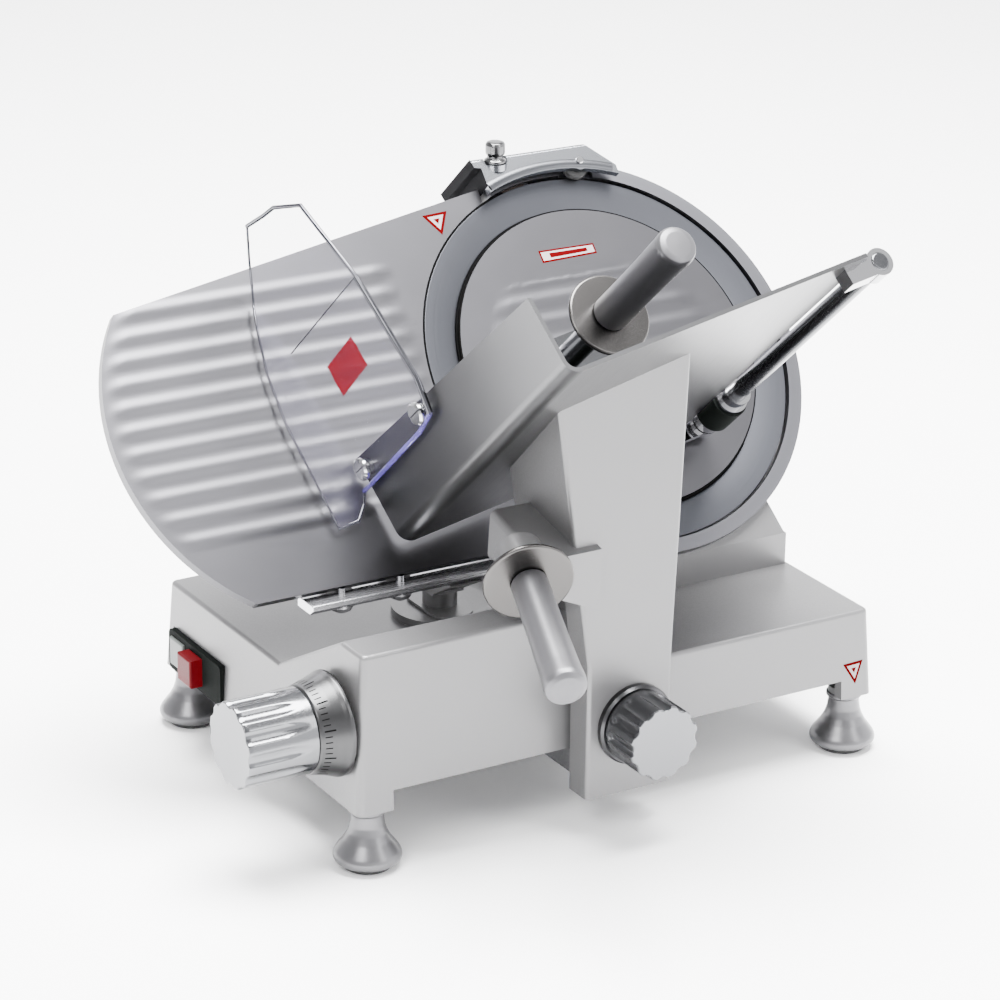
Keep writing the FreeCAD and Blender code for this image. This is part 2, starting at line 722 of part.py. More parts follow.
def sharpener_hood():
    """Cast hood over the top of the ring, with room for the two stones inside it and a seat for its knob."""
    body = new_body("hood_casting", BLADE)
    front = [(-56.4, 139), (-56.4, 162.3), (-62, 163.6), (-63.4, 171), (36.6, 170.5), (58.6, 148.5),
             (58.6, 139)]
    pad(body, front, "hood_front - hood_back", level="hood_back")
    soften(body, lambda edge, box: box.YMin > 160 and box.XLength > 15 and box.ZMin > 13, 3)
    behind = [(-44, 160), (58.6, 160), (58.6, 170), (44, 178), (-38, 181), (-44, 177)]
    pad(body, behind, 28, level="hood_back")
    # hollow it behind the front lip, down to a thin rear wall
    cut_round(body, 0, 0, "ring_outer + 1", 51, level="ring_front + 6")
    cut_round(body, 0, 0, "ring_inner + 0.7", 30, level=30)
    cut(body, box_corners(-40, 130, 50, 167), 45, level=2.5)
    pad_round(body, TRUING_U, STONE_V, 7, 5.5, level="ring_front + 6")
    cut_round(body, TRUING_U, STONE_V, STONE_RADIUS + 0.7, 10, level="ring_front + 6")
    cut_round(body, TRUING_U, STONE_V, "3 + running_gap", 30, level=30)
    cut_round(body, GRINDING_U, STONE_V, "3 + running_gap", 30, level=-30)
    cut_round(body, 3, -32, "6 + running_gap", 27.5, plane="XZ", level=-150)
    seat = turned("hood_seat", HOOD_KNOB, [(0, -5), (9, -5), (9, 0), (0, 0)])
    bore = turned("hood_bore", HOOD_KNOB, [(0, -8), ("3 + running_gap", -8), ("3 + running_gap", 0),
                                           (10, 0), (10, 14),
                                           (0, 14)])
    return removed("sharpener_hood", joined("hood_whole", [body, seat]), bore)


GRINDING_U = -24
TRUING_U = 28
STONE_V = 156
STONE_RADIUS = 10.5
HOOD_KNOB = blade_frame(-42, 166, 12, "rotation(vector(1;0;0); blade_tilt - 90)")


def sharpener_knob():
    """Clamp knob standing upright on the hood's seat."""
    profile = [(0, -7), (3, -7), (3, 0), (8, 0), (8.6, 1), (8.6, 3), (6.4, 4), (6.4, 6), (7.6, 7),
               (7.6, 15),
               (6.6, 16.5), (0, 17)]
    return turned("sharpener_knob", HOOD_KNOB, profile)


def stone(label, u, low, thickness):
    """One round sharpening stone."""
    high = low + thickness
    profile = [(3, low), (STONE_RADIUS, low), (STONE_RADIUS, high), (3, high)]
    return turned(label, blade_frame(u, STONE_V), profile)


def grinding_button():
    """Push shaft through the hood's rear wall, with a round button behind it."""
    profile = [(0, -5.5), (3, -5.5), (3, -52), (6.5, -52), (6.5, -57), (5.5, -58), (0, -58)]
    return turned("grinding_button", blade_frame(GRINDING_U, STONE_V), profile)


def truing_button():
    """Plain push pin through the hood's front lip."""
    profile = [(0, 3.4), (3, 3.4), (3, 16.4), (2.4, 17), (0, 17)]
    return turned("truing_button", blade_frame(TRUING_U, STONE_V), profile)


# ---------------------------------------------------------------- thickness control

CAM_TURN = 330
KNOB = base_frame("-knob_seat", "knob_y", "knob_z", TO_LEFT)


def index_ring():
    """Flared ring with the slice scale, turning with the knob just off the wall."""
    profile = [(6, 0.6), (36.5, 0.6), (38, 2), (38, 5), (33, 24), (31.8, 26), (6, 26)]
    return turned("index_ring", KNOB, profile)


def fluted_grip(body, radius, low, high, centre_hole):
    """A grip with twelve flutes between two heights."""
    length = f"({high}) - ({low})"
    pad_round(body, 0, 0, radius, length, level=low)
    if centre_hole:
        cut_round(body, 0, 0, centre_hole, f"{length} - 6", level=low, forwards=True)
    flute = cut_round(body, f"{radius} + 3.2", 0, 6, f"{length} - 5", level=low, forwards=True)
    repeat_round(body, flute, 12)
    return body


def thickness_knob():
    """Fluted grip that sets the slice thickness."""
    body = new_body("thickness_knob", KNOB)
    fluted_grip(body, "knob_radius", 26, "knob_reach", 6)
    return body


def knob_shaft():
    """Shaft from the knob into the base, carrying the spiral cam."""
    profile = [(0, "-cam_x - 4"), (6, "-cam_x - 4"), (6, "knob_reach - 6.5"), (0, "knob_reach - 6.5")]
    return turned("knob_shaft", KNOB, profile)


def spiral_groove():
    """The groove in the cam's face, following r = start + travel * turn / full turn."""
    start = DIMENSIONS["cam_start"]
    travel = DIMENSIONS["gauge_travel"]
    half_width = 3.3
    steps = 36

    def edge_points(offset):
        points = []
        for step in range(-3, steps + 2):
            share = step / steps
            angle = math.radians(90 - CAM_TURN * share)
            reach = start + travel * share + offset
            points.append(FreeCAD.Vector(reach * math.cos(angle), reach * math.sin(angle), 0))
        return points

    inner = edge_points(-half_width)
    outer = edge_points(half_width)
    curves = []
    for points in (inner, outer):
        curve = Part.BSplineCurve()
        curve.interpolate(points)
        curves.append(curve.toShape())
    ends = [Part.makeLine(inner[0], outer[0]), Part.makeLine(inner[-1], outer[-1])]
    face = Part.Face(Part.Wire(Part.__sortEdges__(curves + ends)))
    groove = doc.addObject("Part::Feature", "Spiral_groove")
    groove.Shape = face.extrude(FreeCAD.Vector(0, 0, 4))
    groove.setExpression("Placement", formula(f"{KNOB} * placement(vector(0;0;-cam_x - 9.5); {UPRIGHT})"))
    return groove


def spiral_cam():
    """Disc with a spiral groove that drives the gauge slide."""
    profile = [(0, "-cam_x - 9"), ("cam_radius", "-cam_x - 9"), ("cam_radius", "-cam_x - 1"),
               (14, "-cam_x - 1"),
               (14, "-cam_x + 3"), (6, "-cam_x + 3"), (6, "-cam_x - 4"), (0, "-cam_x - 4")]
    disc = turned("cam_disc", KNOB, profile)
    return removed("spiral_cam", disc, spiral_groove())


# ---------------------------------------------------------------- gauge


def gauge_plate():
    """Ribbed cast plate that the meat rests against, level with the blade's edge at zero."""
    body = new_body("gauge_plate", BLADE)
    back = "-gauge_thickness"
    pad_round(body, "gauge_round_x", 0, "gauge_round_radius", "gauge_thickness", level=back)
    right = [("gauge_round_x", -FAR), (-57.5, -FAR), (-57.5, 160), ("gauge_round_x", 160)]
    pad(body, right, "gauge_thickness", level=back)
    slope = "tan(9.2)"
    above = [(-FAR, f"151.3 - ({FAR} - 57.5) * {slope}"), (0, f"151.3 + 57.5 * {slope}"), (0, 2 * FAR),
             (-FAR, 2 * FAR)]
    cut(body, above, 60, level=30)
    cut(body, box_corners(-FAR, -2 * FAR, 0, "gauge_bottom"), 60, level=30)
    cut_round(body, 0, 0, "blade_radius + gauge_gap", 60, level=30)
    return body


def gauge_ribs(body):
    """Eleven raised ribs across the plate that keep the meat from sticking."""
    for number in range(11):
        height = 98 - 17.8 * number
        half = 2.6
        start = f"gauge_round_x - sqrt(gauge_round_radius * gauge_round_radius - {height * height:.2f}) + 4"
        if number == 0:
            start = "-370"
        pad(body, box_corners(start, height - half, -160, height + half), 1.2, level=-0.2)


def gauge_lugs(body):
    """Two lugs on the back of the plate that stand on the support bar."""
    lug = [in_blade(123, 158), in_blade(131, 158), in_blade(149, 176), in_blade(143, 181)]
    for left in (40, 88):
        pad(body, lug, 20, plane="YZ", level=f"{left} - blade_x")


def support_bar():
    """Polished bar under the gauge plate, with its lower front edge bevelled."""
    body = new_body("support_bar")
    pad(body, [(107, 158), (107, 154), (112, 150), (131, 150), (131, 158)], 172, plane="YZ", level=20)
    soften(body, lambda edge, box: box.ZLength > 3 and box.XLength < 1 and box.YLength < 1, 3)
    for x in (50, 98):
        cut_round(body, x, 121, 3.1, 14, level=160)
    return body


def bar_bolts():
    """Round-head bolts that hold the plate's lugs on the bar."""
    profile = [(0, -7), (4, -6.6), (7.5, -4.5), (9, -1.5), (9, 0), (3, 0), (3, 12), (0, 12)]
    pieces = [turned(f"bar_bolt_{number}", base_frame(x, 121, 150), profile)
              for number, x in enumerate((50, 98))]
    return group("bar_bolts", pieces)


def gauge_post():
    """Round post through the slot in the deck, with a plate over the slot and a lean to the support bar."""
    body = new_body("gauge_post")
    pad_round(body, "gauge_post_x", "gauge_post_y", "gauge_post_radius", 32, level=107.5)
    for y in ("gauge_post_y - gauge_travel", "gauge_post_y + gauge_travel"):
        pad_round(body, "gauge_post_x", y, 17, 2, level=118.8)
    pad(body, box_corners("gauge_post_x - 17", "gauge_post_y - gauge_travel", "gauge_post_x + 17",
                          "gauge_post_y + gauge_travel"), 2, level=118.8)
    side = [(162, 132), (162, 142), (132, 150), (108, 150), (136, 134), (136, 132)]
    pad(body, side, 26, plane="YZ", level="gauge_post_x - 13")
    return body


def gauge_slider():
    """Slide block on the guide shaft, with the bar that reaches forward to the cam."""
    body = new_body("gauge_slider")
    pad(body, box_corners(80, 130, 166, 172), 17.5, level=90)
    pad(body, box_corners("cam_x + 12 - knob_seat", 130, 90, 150), 8.5, level=98)
    pad(body, box_corners("cam_x + 12 - knob_seat", 38, 58, 135), 8.5, level=98)
    cut_round(body, "guide_shaft_x", "guide_shaft_z", "guide_shaft_radius + running_gap", 80, plane="XZ",
              level=-180,
              forwards=True)
    return body


def cam_follower():
    """Pin pressed into the slider's bar, running in the cam's groove."""
    profile = [(0, 0), (2.9, 0), (2.9, 6), (0, 6)]
    return turned("cam_follower", base_frame("cam_x + 6 - knob_seat", "knob_y + cam_start", "knob_z",
                                             TO_RIGHT), profile)


def plain_shaft(label, frame, radius, length):
    """A ground round bar from the frame's origin along its Z."""
    return turned(label, frame, [(0, 0), (radius, 0), (radius, length), (0, length)])


# ---------------------------------------------------------------- carriage

LOCK = base_frame("lock_x", "arm_front", "lock_z", TO_FRONT)
ROD = tray_frame("rod_x", "rod_y")


def carriage_arm():
    """Tapered hollow post in front of the base, with the handle's boss, cut off along the tray's floor."""
    body = new_body("arm_casting")
    front = [("arm_left", "arm_bottom"), ("arm_right", "arm_bottom"), ("arm_right", 128), (246, 420),
             (124, 420),
             ("arm_left", 131)]
    pad(body, front, 90, plane="XZ", level=-60)
    behind = [("arm_back", 0), ("arm_back", 190), (50, 232), (50, 500), (100, 500), (100, 0)]
    cut(body, behind, 2 * FAR, plane="YZ", both=True)
    soften(body, lambda edge, box: box.YMax < -29.9 and box.ZLength > 50, 3)
    cavity = [("arm_left + 7", 34), ("arm_right - 7", 34), ("arm_right - 7", 128), (230, 185), (165, 185),
              ("arm_left + 7", 131)]
    cut(body, cavity, "arm_back - arm_front - 6", plane="XZ", level="-arm_back", forwards=True)
    cut_round(body, "lock_x", "lock_z", 5.5, 40, plane="XZ", both=True, level="-arm_front")
    bracket = new_body("arm_bracket")
    outline = [(160, 182), (170, 178), (170, 260), (124, 260), (118, 240), (116, 206), (128, 196)]
    pad(bracket, outline, 64, plane="XZ", level=-28)
    cut(bracket, [(40, 243.4), (-50, 219.9), (-50, 300), (40, 300)], 2 * FAR, plane="YZ", both=True)
    soften(bracket, lambda edge, box: box.YLength > 50 and box.XMax < 150, 5)
    boss = turned("arm_boss", HANDLE, [(5, -30), (17, -30), (17, -2), (15, 0), (5, 0)])
    whole = joined("arm_whole", [body, bracket, boss])
    bore = turned("handle_bore", HANDLE, [(0, -20), (5, -20), (5, 30), (0, 30)])
    space = new_body("tray_space", TRAY)
    pad(space, box_corners(-400, "tray_floor", 300, 500), 600, level=-100)
    return removed("carriage_arm", removed("arm_bored", whole, bore), space)


def slide_block():
    """Block on the guide shaft whose tongue reaches under the base's front wall into the arm."""
    body = new_body("slide_block")
    pad(body, box_corners(185, -23, 222, -9), 70, level=36)
    pad(body, box_corners(173, -23, 227, "shaft_y + 17"), 18, level=36)
    pad(body, box_corners(173, "shaft_y - 17", 227, "shaft_y + 17"), 58, level=36)
    soften(body, lambda edge, box: box.ZLength > 50, 2)
    pad_round(body, 200, "shaft_z + 4.5", 3, 16, plane="XZ", level="-shaft_y - 32")
    cut_round(body, "shaft_y", "shaft_z", "shaft_radius + 3", 300, plane="YZ", level=100, forwards=True)
    cut_round(body, "lock_x", "lock_z", 4.6, 40, plane="XZ", level=0, forwards=True)
    return body


def slide_bushes():
    """Two bronze bushes pressed into the slide block."""
    inner = "shaft_radius + running_gap"
    outer = "shaft_radius + 3"
    profile = [(inner, 0), (outer, 0), (outer, 20), (inner, 20)]
    pieces = [turned(f"bush_{number}", base_frame(x, "shaft_y", "shaft_z", TO_RIGHT), profile)
              for number, x in enumerate((173, 207))]
    return group("slide_bushes", pieces)


def guide_roller():
    """Roller behind the slide block that runs under the base's strip and stops the carriage tipping."""
    profile = [(3.05, 0), (6.9, 0), (6.9, 9), (3.05, 9)]
    return turned("guide_roller", base_frame(200, "shaft_y + 21.5", "shaft_z + 4.5", TO_BACK), profile)


def lock_ring():
    """Black collar behind the carriage lock knob."""
    return turned("lock_ring", LOCK, [(5.5, 0), (30, 0), (30, 4), (28.5, 6), (5.5, 6)])


def lock_knob():
    """Fluted knob that clamps the arm to the slide block."""
    body = new_body("lock_knob", LOCK)
    fluted_grip(body, "lock_radius", 6.5, 41, 0)
    cut_round(body, 0, 0, 4.5, 20, level=6, forwards=True)
    return body


def lock_screw():
    """Screw of the lock knob, from inside the knob to the slide block's tongue."""
    return turned("lock_screw", LOCK, [(0, -19), (4.5, -19), (4.5, 26), (0, 26)])


def meat_tray():
    """Bent sheet tray: a floor and a left wall, both square to the blade."""
    body = new_body("meat_tray", TRAY)
    inner_left = "tray_left + tray_sheet"
    inner_floor = "tray_floor + tray_sheet"
    profile = [("tray_left", "wall_top_far"), ("tray_left", "tray_floor"), ("tray_right", "tray_floor"),
               ("tray_right", inner_floor), (inner_left, inner_floor), (inner_left, "wall_top_far")]
    pad(body, profile, "tray_near - tray_far", level="tray_far")
    floor = DIMENSIONS["tray_floor"]
    left = DIMENSIONS["tray_left"]
    sheet_thickness = DIMENSIONS["tray_sheet"]
    soften(body,
           lambda edge, box: box.ZLength > 200 and abs(box.YMin - floor) < 0.5 and box.XMax < left + 1,
           11)
    soften(body, lambda edge, box: box.ZLength > 200 and abs(box.YMin - floor - sheet_thickness) < 0.5
           and box.XMax < left + sheet_thickness + 1, 8)
    above = [("wall_top_far", "tray_far"), ("wall_top_near", "tray_near"), (50, "tray_near + 1"),
             (50, "tray_far - 1")]
    cut(body, above, 40, plane="YZ", level="tray_left + 20")
    return body


GUARD_BEND = 88
GUARD_LEAN = 8


def safety_guard():
    """Clear bent sheet on the tray's left wall: side panel, leaning top and a wing along the gauge plate."""
    side = new_body("guard_side", TRAY)
    panel = [(-28, 5), (-28, 114), (-24, 140), (2, 147), (GUARD_BEND, 140), (GUARD_BEND, 5)]
    pad(side, panel, 3, plane="YZ", level="tray_left - 7")
    for height, depth in GUARD_SCREWS:
        cut_round(side, height, depth, 3.2, 30, plane="YZ", level="tray_left + 10")
    lean = f"rotation(vector(0;0;1); {GUARD_LEAN})"
    top = new_body("guard_top", tray_frame("tray_left - 4", GUARD_BEND, lean))
    pad(top, [(-1, 5), (-1, 140), (65, 135), (80, 104), (82.5, 86), (88, 60), (70, 34), (48, 5)], 3,
        plane="YZ", level=-3)
    wing = new_body("guard_wing", TRAY)
    pad(wing, [(-245, -28), (-251.7, -36.7), (-262, -47), (-281, -47), (-279, 40), (-273, 80), (-263, 113),
               (-255, 133),
               (-251, 133), (-245, GUARD_BEND)], 3, level=5)
    return joined("safety_guard", [side, top, wing])


GUARD_SCREWS = [(-15, 22), (-17, 126)]


def guard_screws():
    """Slotted screws with spacers that hold the guard off the wall."""
    profile = [(0, -4), (6, -4), (6, 0), (3, 0), (3, 3.1), (8.5, 3.1), (8.5, 5), (7, 6.4), (0, 6.4)]
    pieces = []
    for number, (height, depth) in enumerate(GUARD_SCREWS):
        frame = tray_frame("tray_left - 4", height, TO_LEFT, depth)
        screw = turned(f"guard_screw_{number}", frame, profile)
        cut(screw, box_corners(-9, -0.8, 9, 0.8), 2, level=7)
        pieces.append(screw)
    return group("guard_screws", pieces)


def handle_flange():
    """Hand guard disc of the carriage handle."""
    return turned("handle_flange", HANDLE, [(5, 0), (31, 0), ("hand_disc_radius", 1),
                                            ("hand_disc_radius", 3), (31, 4), (5, 4)])


def carriage_handle():
    """Turned metal handle screwed into the arm's boss."""
    end = "handle_length"
    profile = [(0, -14), (5, -14), (5, 4), (12, 4), (13, 8), (13.2, 60), (14.5, f"{end} - 12"),
               (15, f"{end} - 6"),
               (14, f"{end} - 2"), (10, end), (0, f"{end} + 1")]
    return turned("carriage_handle", HANDLE, profile)


def rod_bracket(number, low, length):
    """One eye under the tray's right edge that holds the pusher's rod."""
    body = new_body(f"rod_bracket_{number}", ROD)
    pad_round(body, 0, 0, "rod_radius + 3.5", length, level=low)
    pad(body, box_corners(-30, -8, 0, "tray_floor - rod_y"), length, level=low)
    cut_round(body, 0, 0, "rod_radius", length, level=low, forwards=True)
    return body


def pusher_slider():
    """Sleeve that slides on the rod and carries the pusher."""
    profile = [("rod_radius + running_gap", 20), (10.5, 20), (10.5, 28), (12.5, 28), (12.5, 31.8),
               (10.5, 31.8), (10.5, 60.2),
               (12.5, 60.2), (12.5, 64), (10.5, 64), (10.5, 74), ("rod_radius + running_gap", 74)]
    return turned("pusher_slider", ROD, profile)


def pusher_arm():
    """Cast arm that swings round the sleeve and carries the pusher plate over the tray."""
    body = new_body("pusher_arm", ROD)
    pad_round(body, 0, 0, 14, 28, level=32)
    pad(body, [(-8, 4), (9, 4), (9, 32), (-2, 46), (-112, 62), (-112, 44), (-16, 30), (-8, 22)], 14,
        level=38)
    pad(body, box_corners(-112, 44, -60, 62), 25, level=20)
    cut_round(body, 0, 0, "10.5 + running_gap", 60, level=20, forwards=True)
    return body


def pusher_plate():
    """Toothed plate that presses the meat on to the blade, with the stem of its handle."""
    body = new_body("pusher_plate", TRAY)
    pad(body, box_corners(-114, -68, 2, 24), 6, level=14)
    soften(body, lambda edge, box: box.ZLength > 5, 8)
    pad_round(body, "pusher_x", "pusher_y", 10, "pusher_disc_z - 20", level=20)
    for number in range(8):
        low = -58 + number * 10
        pad(body, [(low, 14.2), (low + 5, 14.2), (low + 2.5, 10.5)], 96, plane="YZ", level=-104)
    cut_round(body, "pusher_x", "pusher_y", 4, 20, level="pusher_disc_z")
    return body


def pusher_disc():
    """Hand guard disc of the pusher's handle."""
    low = "pusher_disc_z"
    profile = [(4, low), (31, low), (32, f"{low} + 1"), (32, f"{low} + 3"), (31, f"{low} + 4"),
               (4, f"{low} + 4")]
    return turned("pusher_disc", tray_frame("pusher_x", "pusher_y"), profile)


def pusher_handle():
    """Turned metal handle of the pusher, with a domed end."""
    low = "pusher_disc_z"
    top = "pusher_disc_z + pusher_length"
    profile = [(0, f"{low} - 16"), (4, f"{low} - 16"), (4, f"{low} + 4"), (12.5, f"{low} + 4"),
               (13.8, f"{low} + 9"),
               (14, f"{low} + 70"), (15, f"{top} - 12"), (15.3, f"{top} - 5"), (13.5, f"{top} - 1"),
               (0, top)]
    return turned("pusher_handle", tray_frame("pusher_x", "pusher_y"), profile)


# ---------------------------------------------------------------- build order

base = base_housing()
leg_bosses(base)
keep(base, bottom_cover(), feet(), foot_pads(), switch_box())
keep(push_button("start_button", -27, 2), push_button("stop_button", 2, 10))
keep(mains_gland(), capacitor())
keep(blade_housing(), ring_guard(), blade(), hub_pulley(), blade_screws(), spindle_post(),
     spindle_bearings())
keep(blade_cover(), cover_tie_rod(), motor_body(), motor_shaft(), motor_pulley(), drive_belt())
keep(sharpener_bracket(), sharpener_hood(), sharpener_knob())
keep(stone("grinding_stone", GRINDING_U, -12, 7), grinding_button())
keep(stone("truing_stone", TRUING_U, 2.9, 4.5), truing_button())
plate = gauge_plate()
gauge_ribs(plate)
gauge_lugs(plate)
keep(index_ring(), thickness_knob(), knob_shaft(), spiral_cam())
keep(plate, support_bar(), bar_bolts(), gauge_post(), gauge_slider(), cam_follower())
keep(plain_shaft("gauge_guide_shaft", base_frame("guide_shaft_x", 17, "guide_shaft_z", TO_BACK),
                 "guide_shaft_radius", 207))
keep(plain_shaft("carriage_shaft", base_frame(8, "shaft_y", "shaft_z", TO_RIGHT), "shaft_radius",
                 "base_width - 16"))
keep(carriage_arm(), slide_block(), slide_bushes(), guide_roller(), lock_ring(), lock_knob(), lock_screw())
keep(meat_tray(), safety_guard(), guard_screws(), handle_flange(), carriage_handle())
keep(plain_shaft("pusher_rod", tray_frame("rod_x", "rod_y", UPRIGHT, 11), "rod_radius", 287))
keep(group("rod_brackets", [rod_bracket(1, 12, 7), rod_bracket(2, 283, 14)]))
keep(pusher_slider(), pusher_arm(), pusher_plate(), pusher_disc(), pusher_handle())

doc.recompute()

# ---------------------------------------------------------------- check and export

problems = [f"{item.Label}: {item.State}" for item in doc.Objects
            if "Invalid" in item.State or "Error" in item.State]
for part in parts:
    if part.Shape.isNull() or not part.Shape.isValid():
        problems.append(part.Label + " has a bad shape")
if problems:
    raise RuntimeError("; ".join(problems))

os.makedirs("parts", exist_ok=True)
for part in parts:
    part.Shape.exportStep(f"parts/{part.Label}.step")
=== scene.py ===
import json
from math import cos, pi, radians, sin, sqrt, tan

import bpy
from mathutils import Matrix, Vector

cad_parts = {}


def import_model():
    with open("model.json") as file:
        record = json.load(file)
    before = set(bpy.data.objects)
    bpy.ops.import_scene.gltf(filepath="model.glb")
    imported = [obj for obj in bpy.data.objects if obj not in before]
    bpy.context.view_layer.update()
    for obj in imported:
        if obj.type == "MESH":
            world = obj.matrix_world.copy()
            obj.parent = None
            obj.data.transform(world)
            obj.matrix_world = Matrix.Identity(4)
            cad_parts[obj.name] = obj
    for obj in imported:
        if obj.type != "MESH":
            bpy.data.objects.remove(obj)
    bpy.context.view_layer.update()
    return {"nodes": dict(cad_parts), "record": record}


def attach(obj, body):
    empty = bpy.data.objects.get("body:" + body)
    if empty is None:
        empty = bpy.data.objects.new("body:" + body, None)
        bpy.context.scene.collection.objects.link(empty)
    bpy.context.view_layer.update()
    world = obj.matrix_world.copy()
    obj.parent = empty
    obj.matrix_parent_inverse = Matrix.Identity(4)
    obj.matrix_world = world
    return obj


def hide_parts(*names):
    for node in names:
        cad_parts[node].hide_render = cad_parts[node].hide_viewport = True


# The looks of a gravity-feed deli meat slicer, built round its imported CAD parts.
# Shapes are written in millimetres in the frame they belong to and turned into metres once.

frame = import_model()
nodes = frame["nodes"]

MM = 0.001

# ---------------------------------------------------------------- frames

# the front left corner of the deck, seen from the middle of the footprint
CORNER = Vector((-201.85, -105.643, 0))
BLADE_CENTRE = Vector((326.6, 207.5, 264.1))
LEAN = radians(48.5)
TRAY_TURN = radians(10)

TO_LEFT = Matrix.Rotation(radians(-90), 4, "Y")
TO_FRONT = Matrix.Rotation(radians(90), 4, "X")


def shift(x, y, z=0.0):
    return Matrix.Translation((x, y, z))


BASE = Matrix.Translation(CORNER)
BLADE = BASE @ Matrix.Translation(BLADE_CENTRE) @ Matrix.Rotation(LEAN, 4, "X")
TRAY = BLADE @ Matrix.Rotation(TRAY_TURN, 4, "Z")
ROD = TRAY @ shift(36, -79)
KNOB = BASE @ shift(-2.8, 35.6, 102.2) @ TO_LEFT
LOCK = BASE @ shift(203.5, -30, 82.3) @ TO_FRONT
HANDLE = (BASE @ shift(108, -40, 215) @ Matrix.Rotation(radians(-17), 4, "Z")
          @ Matrix.Rotation(radians(107.6), 4, "X"))
HOOD_KNOB = BLADE @ shift(-42, 166, 12) @ Matrix.Rotation(-LEAN, 4, "X")

# ---------------------------------------------------------------- materials


class Finish:
    """A material with one Principled shader, and short helpers for the nodes that feed it."""

    def __init__(self, name, color, roughness, metallic=0.0, **sockets):
        self.material = bpy.data.materials.new(name)
        self.material.use_nodes = True
        self.tree = self.material.node_tree
        self.shader = self.tree.nodes["Principled BSDF"]
        self.shader.inputs["Base Color"].default_value = (*color, 1)
        self.shader.inputs["Roughness"].default_value = roughness
        self.shader.inputs["Metallic"].default_value = metallic
        for socket, value in sockets.items():
            self.shader.inputs[socket.replace("_", " ")].default_value = value
        self.color = color
        self.roughness = roughness
        self.place = self.add("ShaderNodeTexCoord").outputs["Object"]

    def add(self, kind, **values):
        node = self.tree.nodes.new(kind)
        for key, value in values.items():
            setattr(node, key, value)
        return node

    def link(self, start, end):
        self.tree.links.new(start, end)

    def noise(self, scale, stretch=(1, 1, 1), turn=(0, 0, 0), detail=3.0):
        """Noise in object space; stretch is the scale along each turned axis."""
        mapping = self.add("ShaderNodeMapping", vector_type="TEXTURE")
        mapping.inputs["Rotation"].default_value = turn
        mapping.inputs["Scale"].default_value = stretch
        texture = self.add("ShaderNodeTexNoise")
        texture.inputs["Scale"].default_value = scale
        texture.inputs["Detail"].default_value = detail
        self.link(self.place, mapping.inputs["Vector"])
        self.link(mapping.outputs["Vector"], texture.inputs["Vector"])
        return texture.outputs["Fac"]

    def spread(self, value, low, high, start=0.3, end=0.7):
        """Map a noise value to a range."""
        node = self.add("ShaderNodeMapRange")
        node.inputs["From Min"].default_value = start
        node.inputs["From Max"].default_value = end
        node.inputs["To Min"].default_value = low
        node.inputs["To Max"].default_value = high
        self.link(value, node.inputs["Value"])
        return node.outputs["Result"]

    def product(self, first, second):
        node = self.add("ShaderNodeMath", operation="MULTIPLY")
        self.link(first, node.inputs[0])
        self.link(second, node.inputs[1])
        return node.outputs["Value"]

    def tint(self, value, amount):
        """Darken and lighten the base colour by a noise value."""
        node = self.add("ShaderNodeMix", data_type="RGBA")
        node.inputs["A"].default_value = (*[c * (1 - amount) for c in self.color], 1)
        node.inputs["B"].default_value = (*[min(c * (1 + amount), 1) for c in self.color], 1)
        self.link(self.spread(value, 0, 1), node.inputs["Factor"])
        self.link(node.outputs["Result"], self.shader.inputs["Base Color"])

    def rough(self, value, spread):
        low = max(self.roughness - spread, 0.02)
        self.link(self.spread(value, low, self.roughness + spread), self.shader.inputs["Roughness"])

    def bump(self, value, strength, depth=0.0002):
        node = self.add("ShaderNodeBump")
        node.inputs["Strength"].default_value = strength
        node.inputs["Distance"].default_value = depth
        self.link(value, node.inputs["Height"])
        self.link(node.outputs["Normal"], self.shader.inputs["Normal"])


def brushed(name, color, roughness, along="X", turn=(0, 0, 0), grain=0.12, patch=0.05, bump=0.12):
    """Metal with straight brush marks along one axis and faint handling marks."""
    finish = Finish(name, color, roughness, metallic=1.0)
    stretch = {"X": (60, 1, 1), "Y": (1, 60, 1), "Z": (1, 1, 60)}[along]
    strokes = finish.noise(2600, stretch, turn, 2.0)
    patches = finish.noise(14, (1, 1, 1), turn, 4.0)
    finish.tint(patches, patch)
    marks = finish.product(strokes, finish.spread(patches, 0.8, 1.2))
    finish.rough(marks, grain)
    finish.bump(strokes, bump, 0.00005)
    return finish.material


def cast(name, color, roughness, grain=900.0, bump=0.15, patch=0.05, uneven=0.07, metallic=1.0):
    """Blasted or satin casting with a fine even grain and a little cloudiness."""
    finish = Finish(name, color, roughness, metallic=metallic)
    fine = finish.noise(grain, detail=4.0)
    cloud = finish.noise(9, detail=5.0)
    finish.tint(cloud, patch)
    finish.rough(finish.product(fine, finish.spread(cloud, 0.8, 1.2)), uneven)
    finish.bump(fine, bump, 0.00006)
    return finish.material


def satin(name, color, roughness, patch=0.02, metallic=1.0):
    """Smooth satin metal, even all over."""
    return cast(name, color, roughness, grain=3000.0, bump=0.005, patch=patch, uneven=0.02, metallic=metallic)


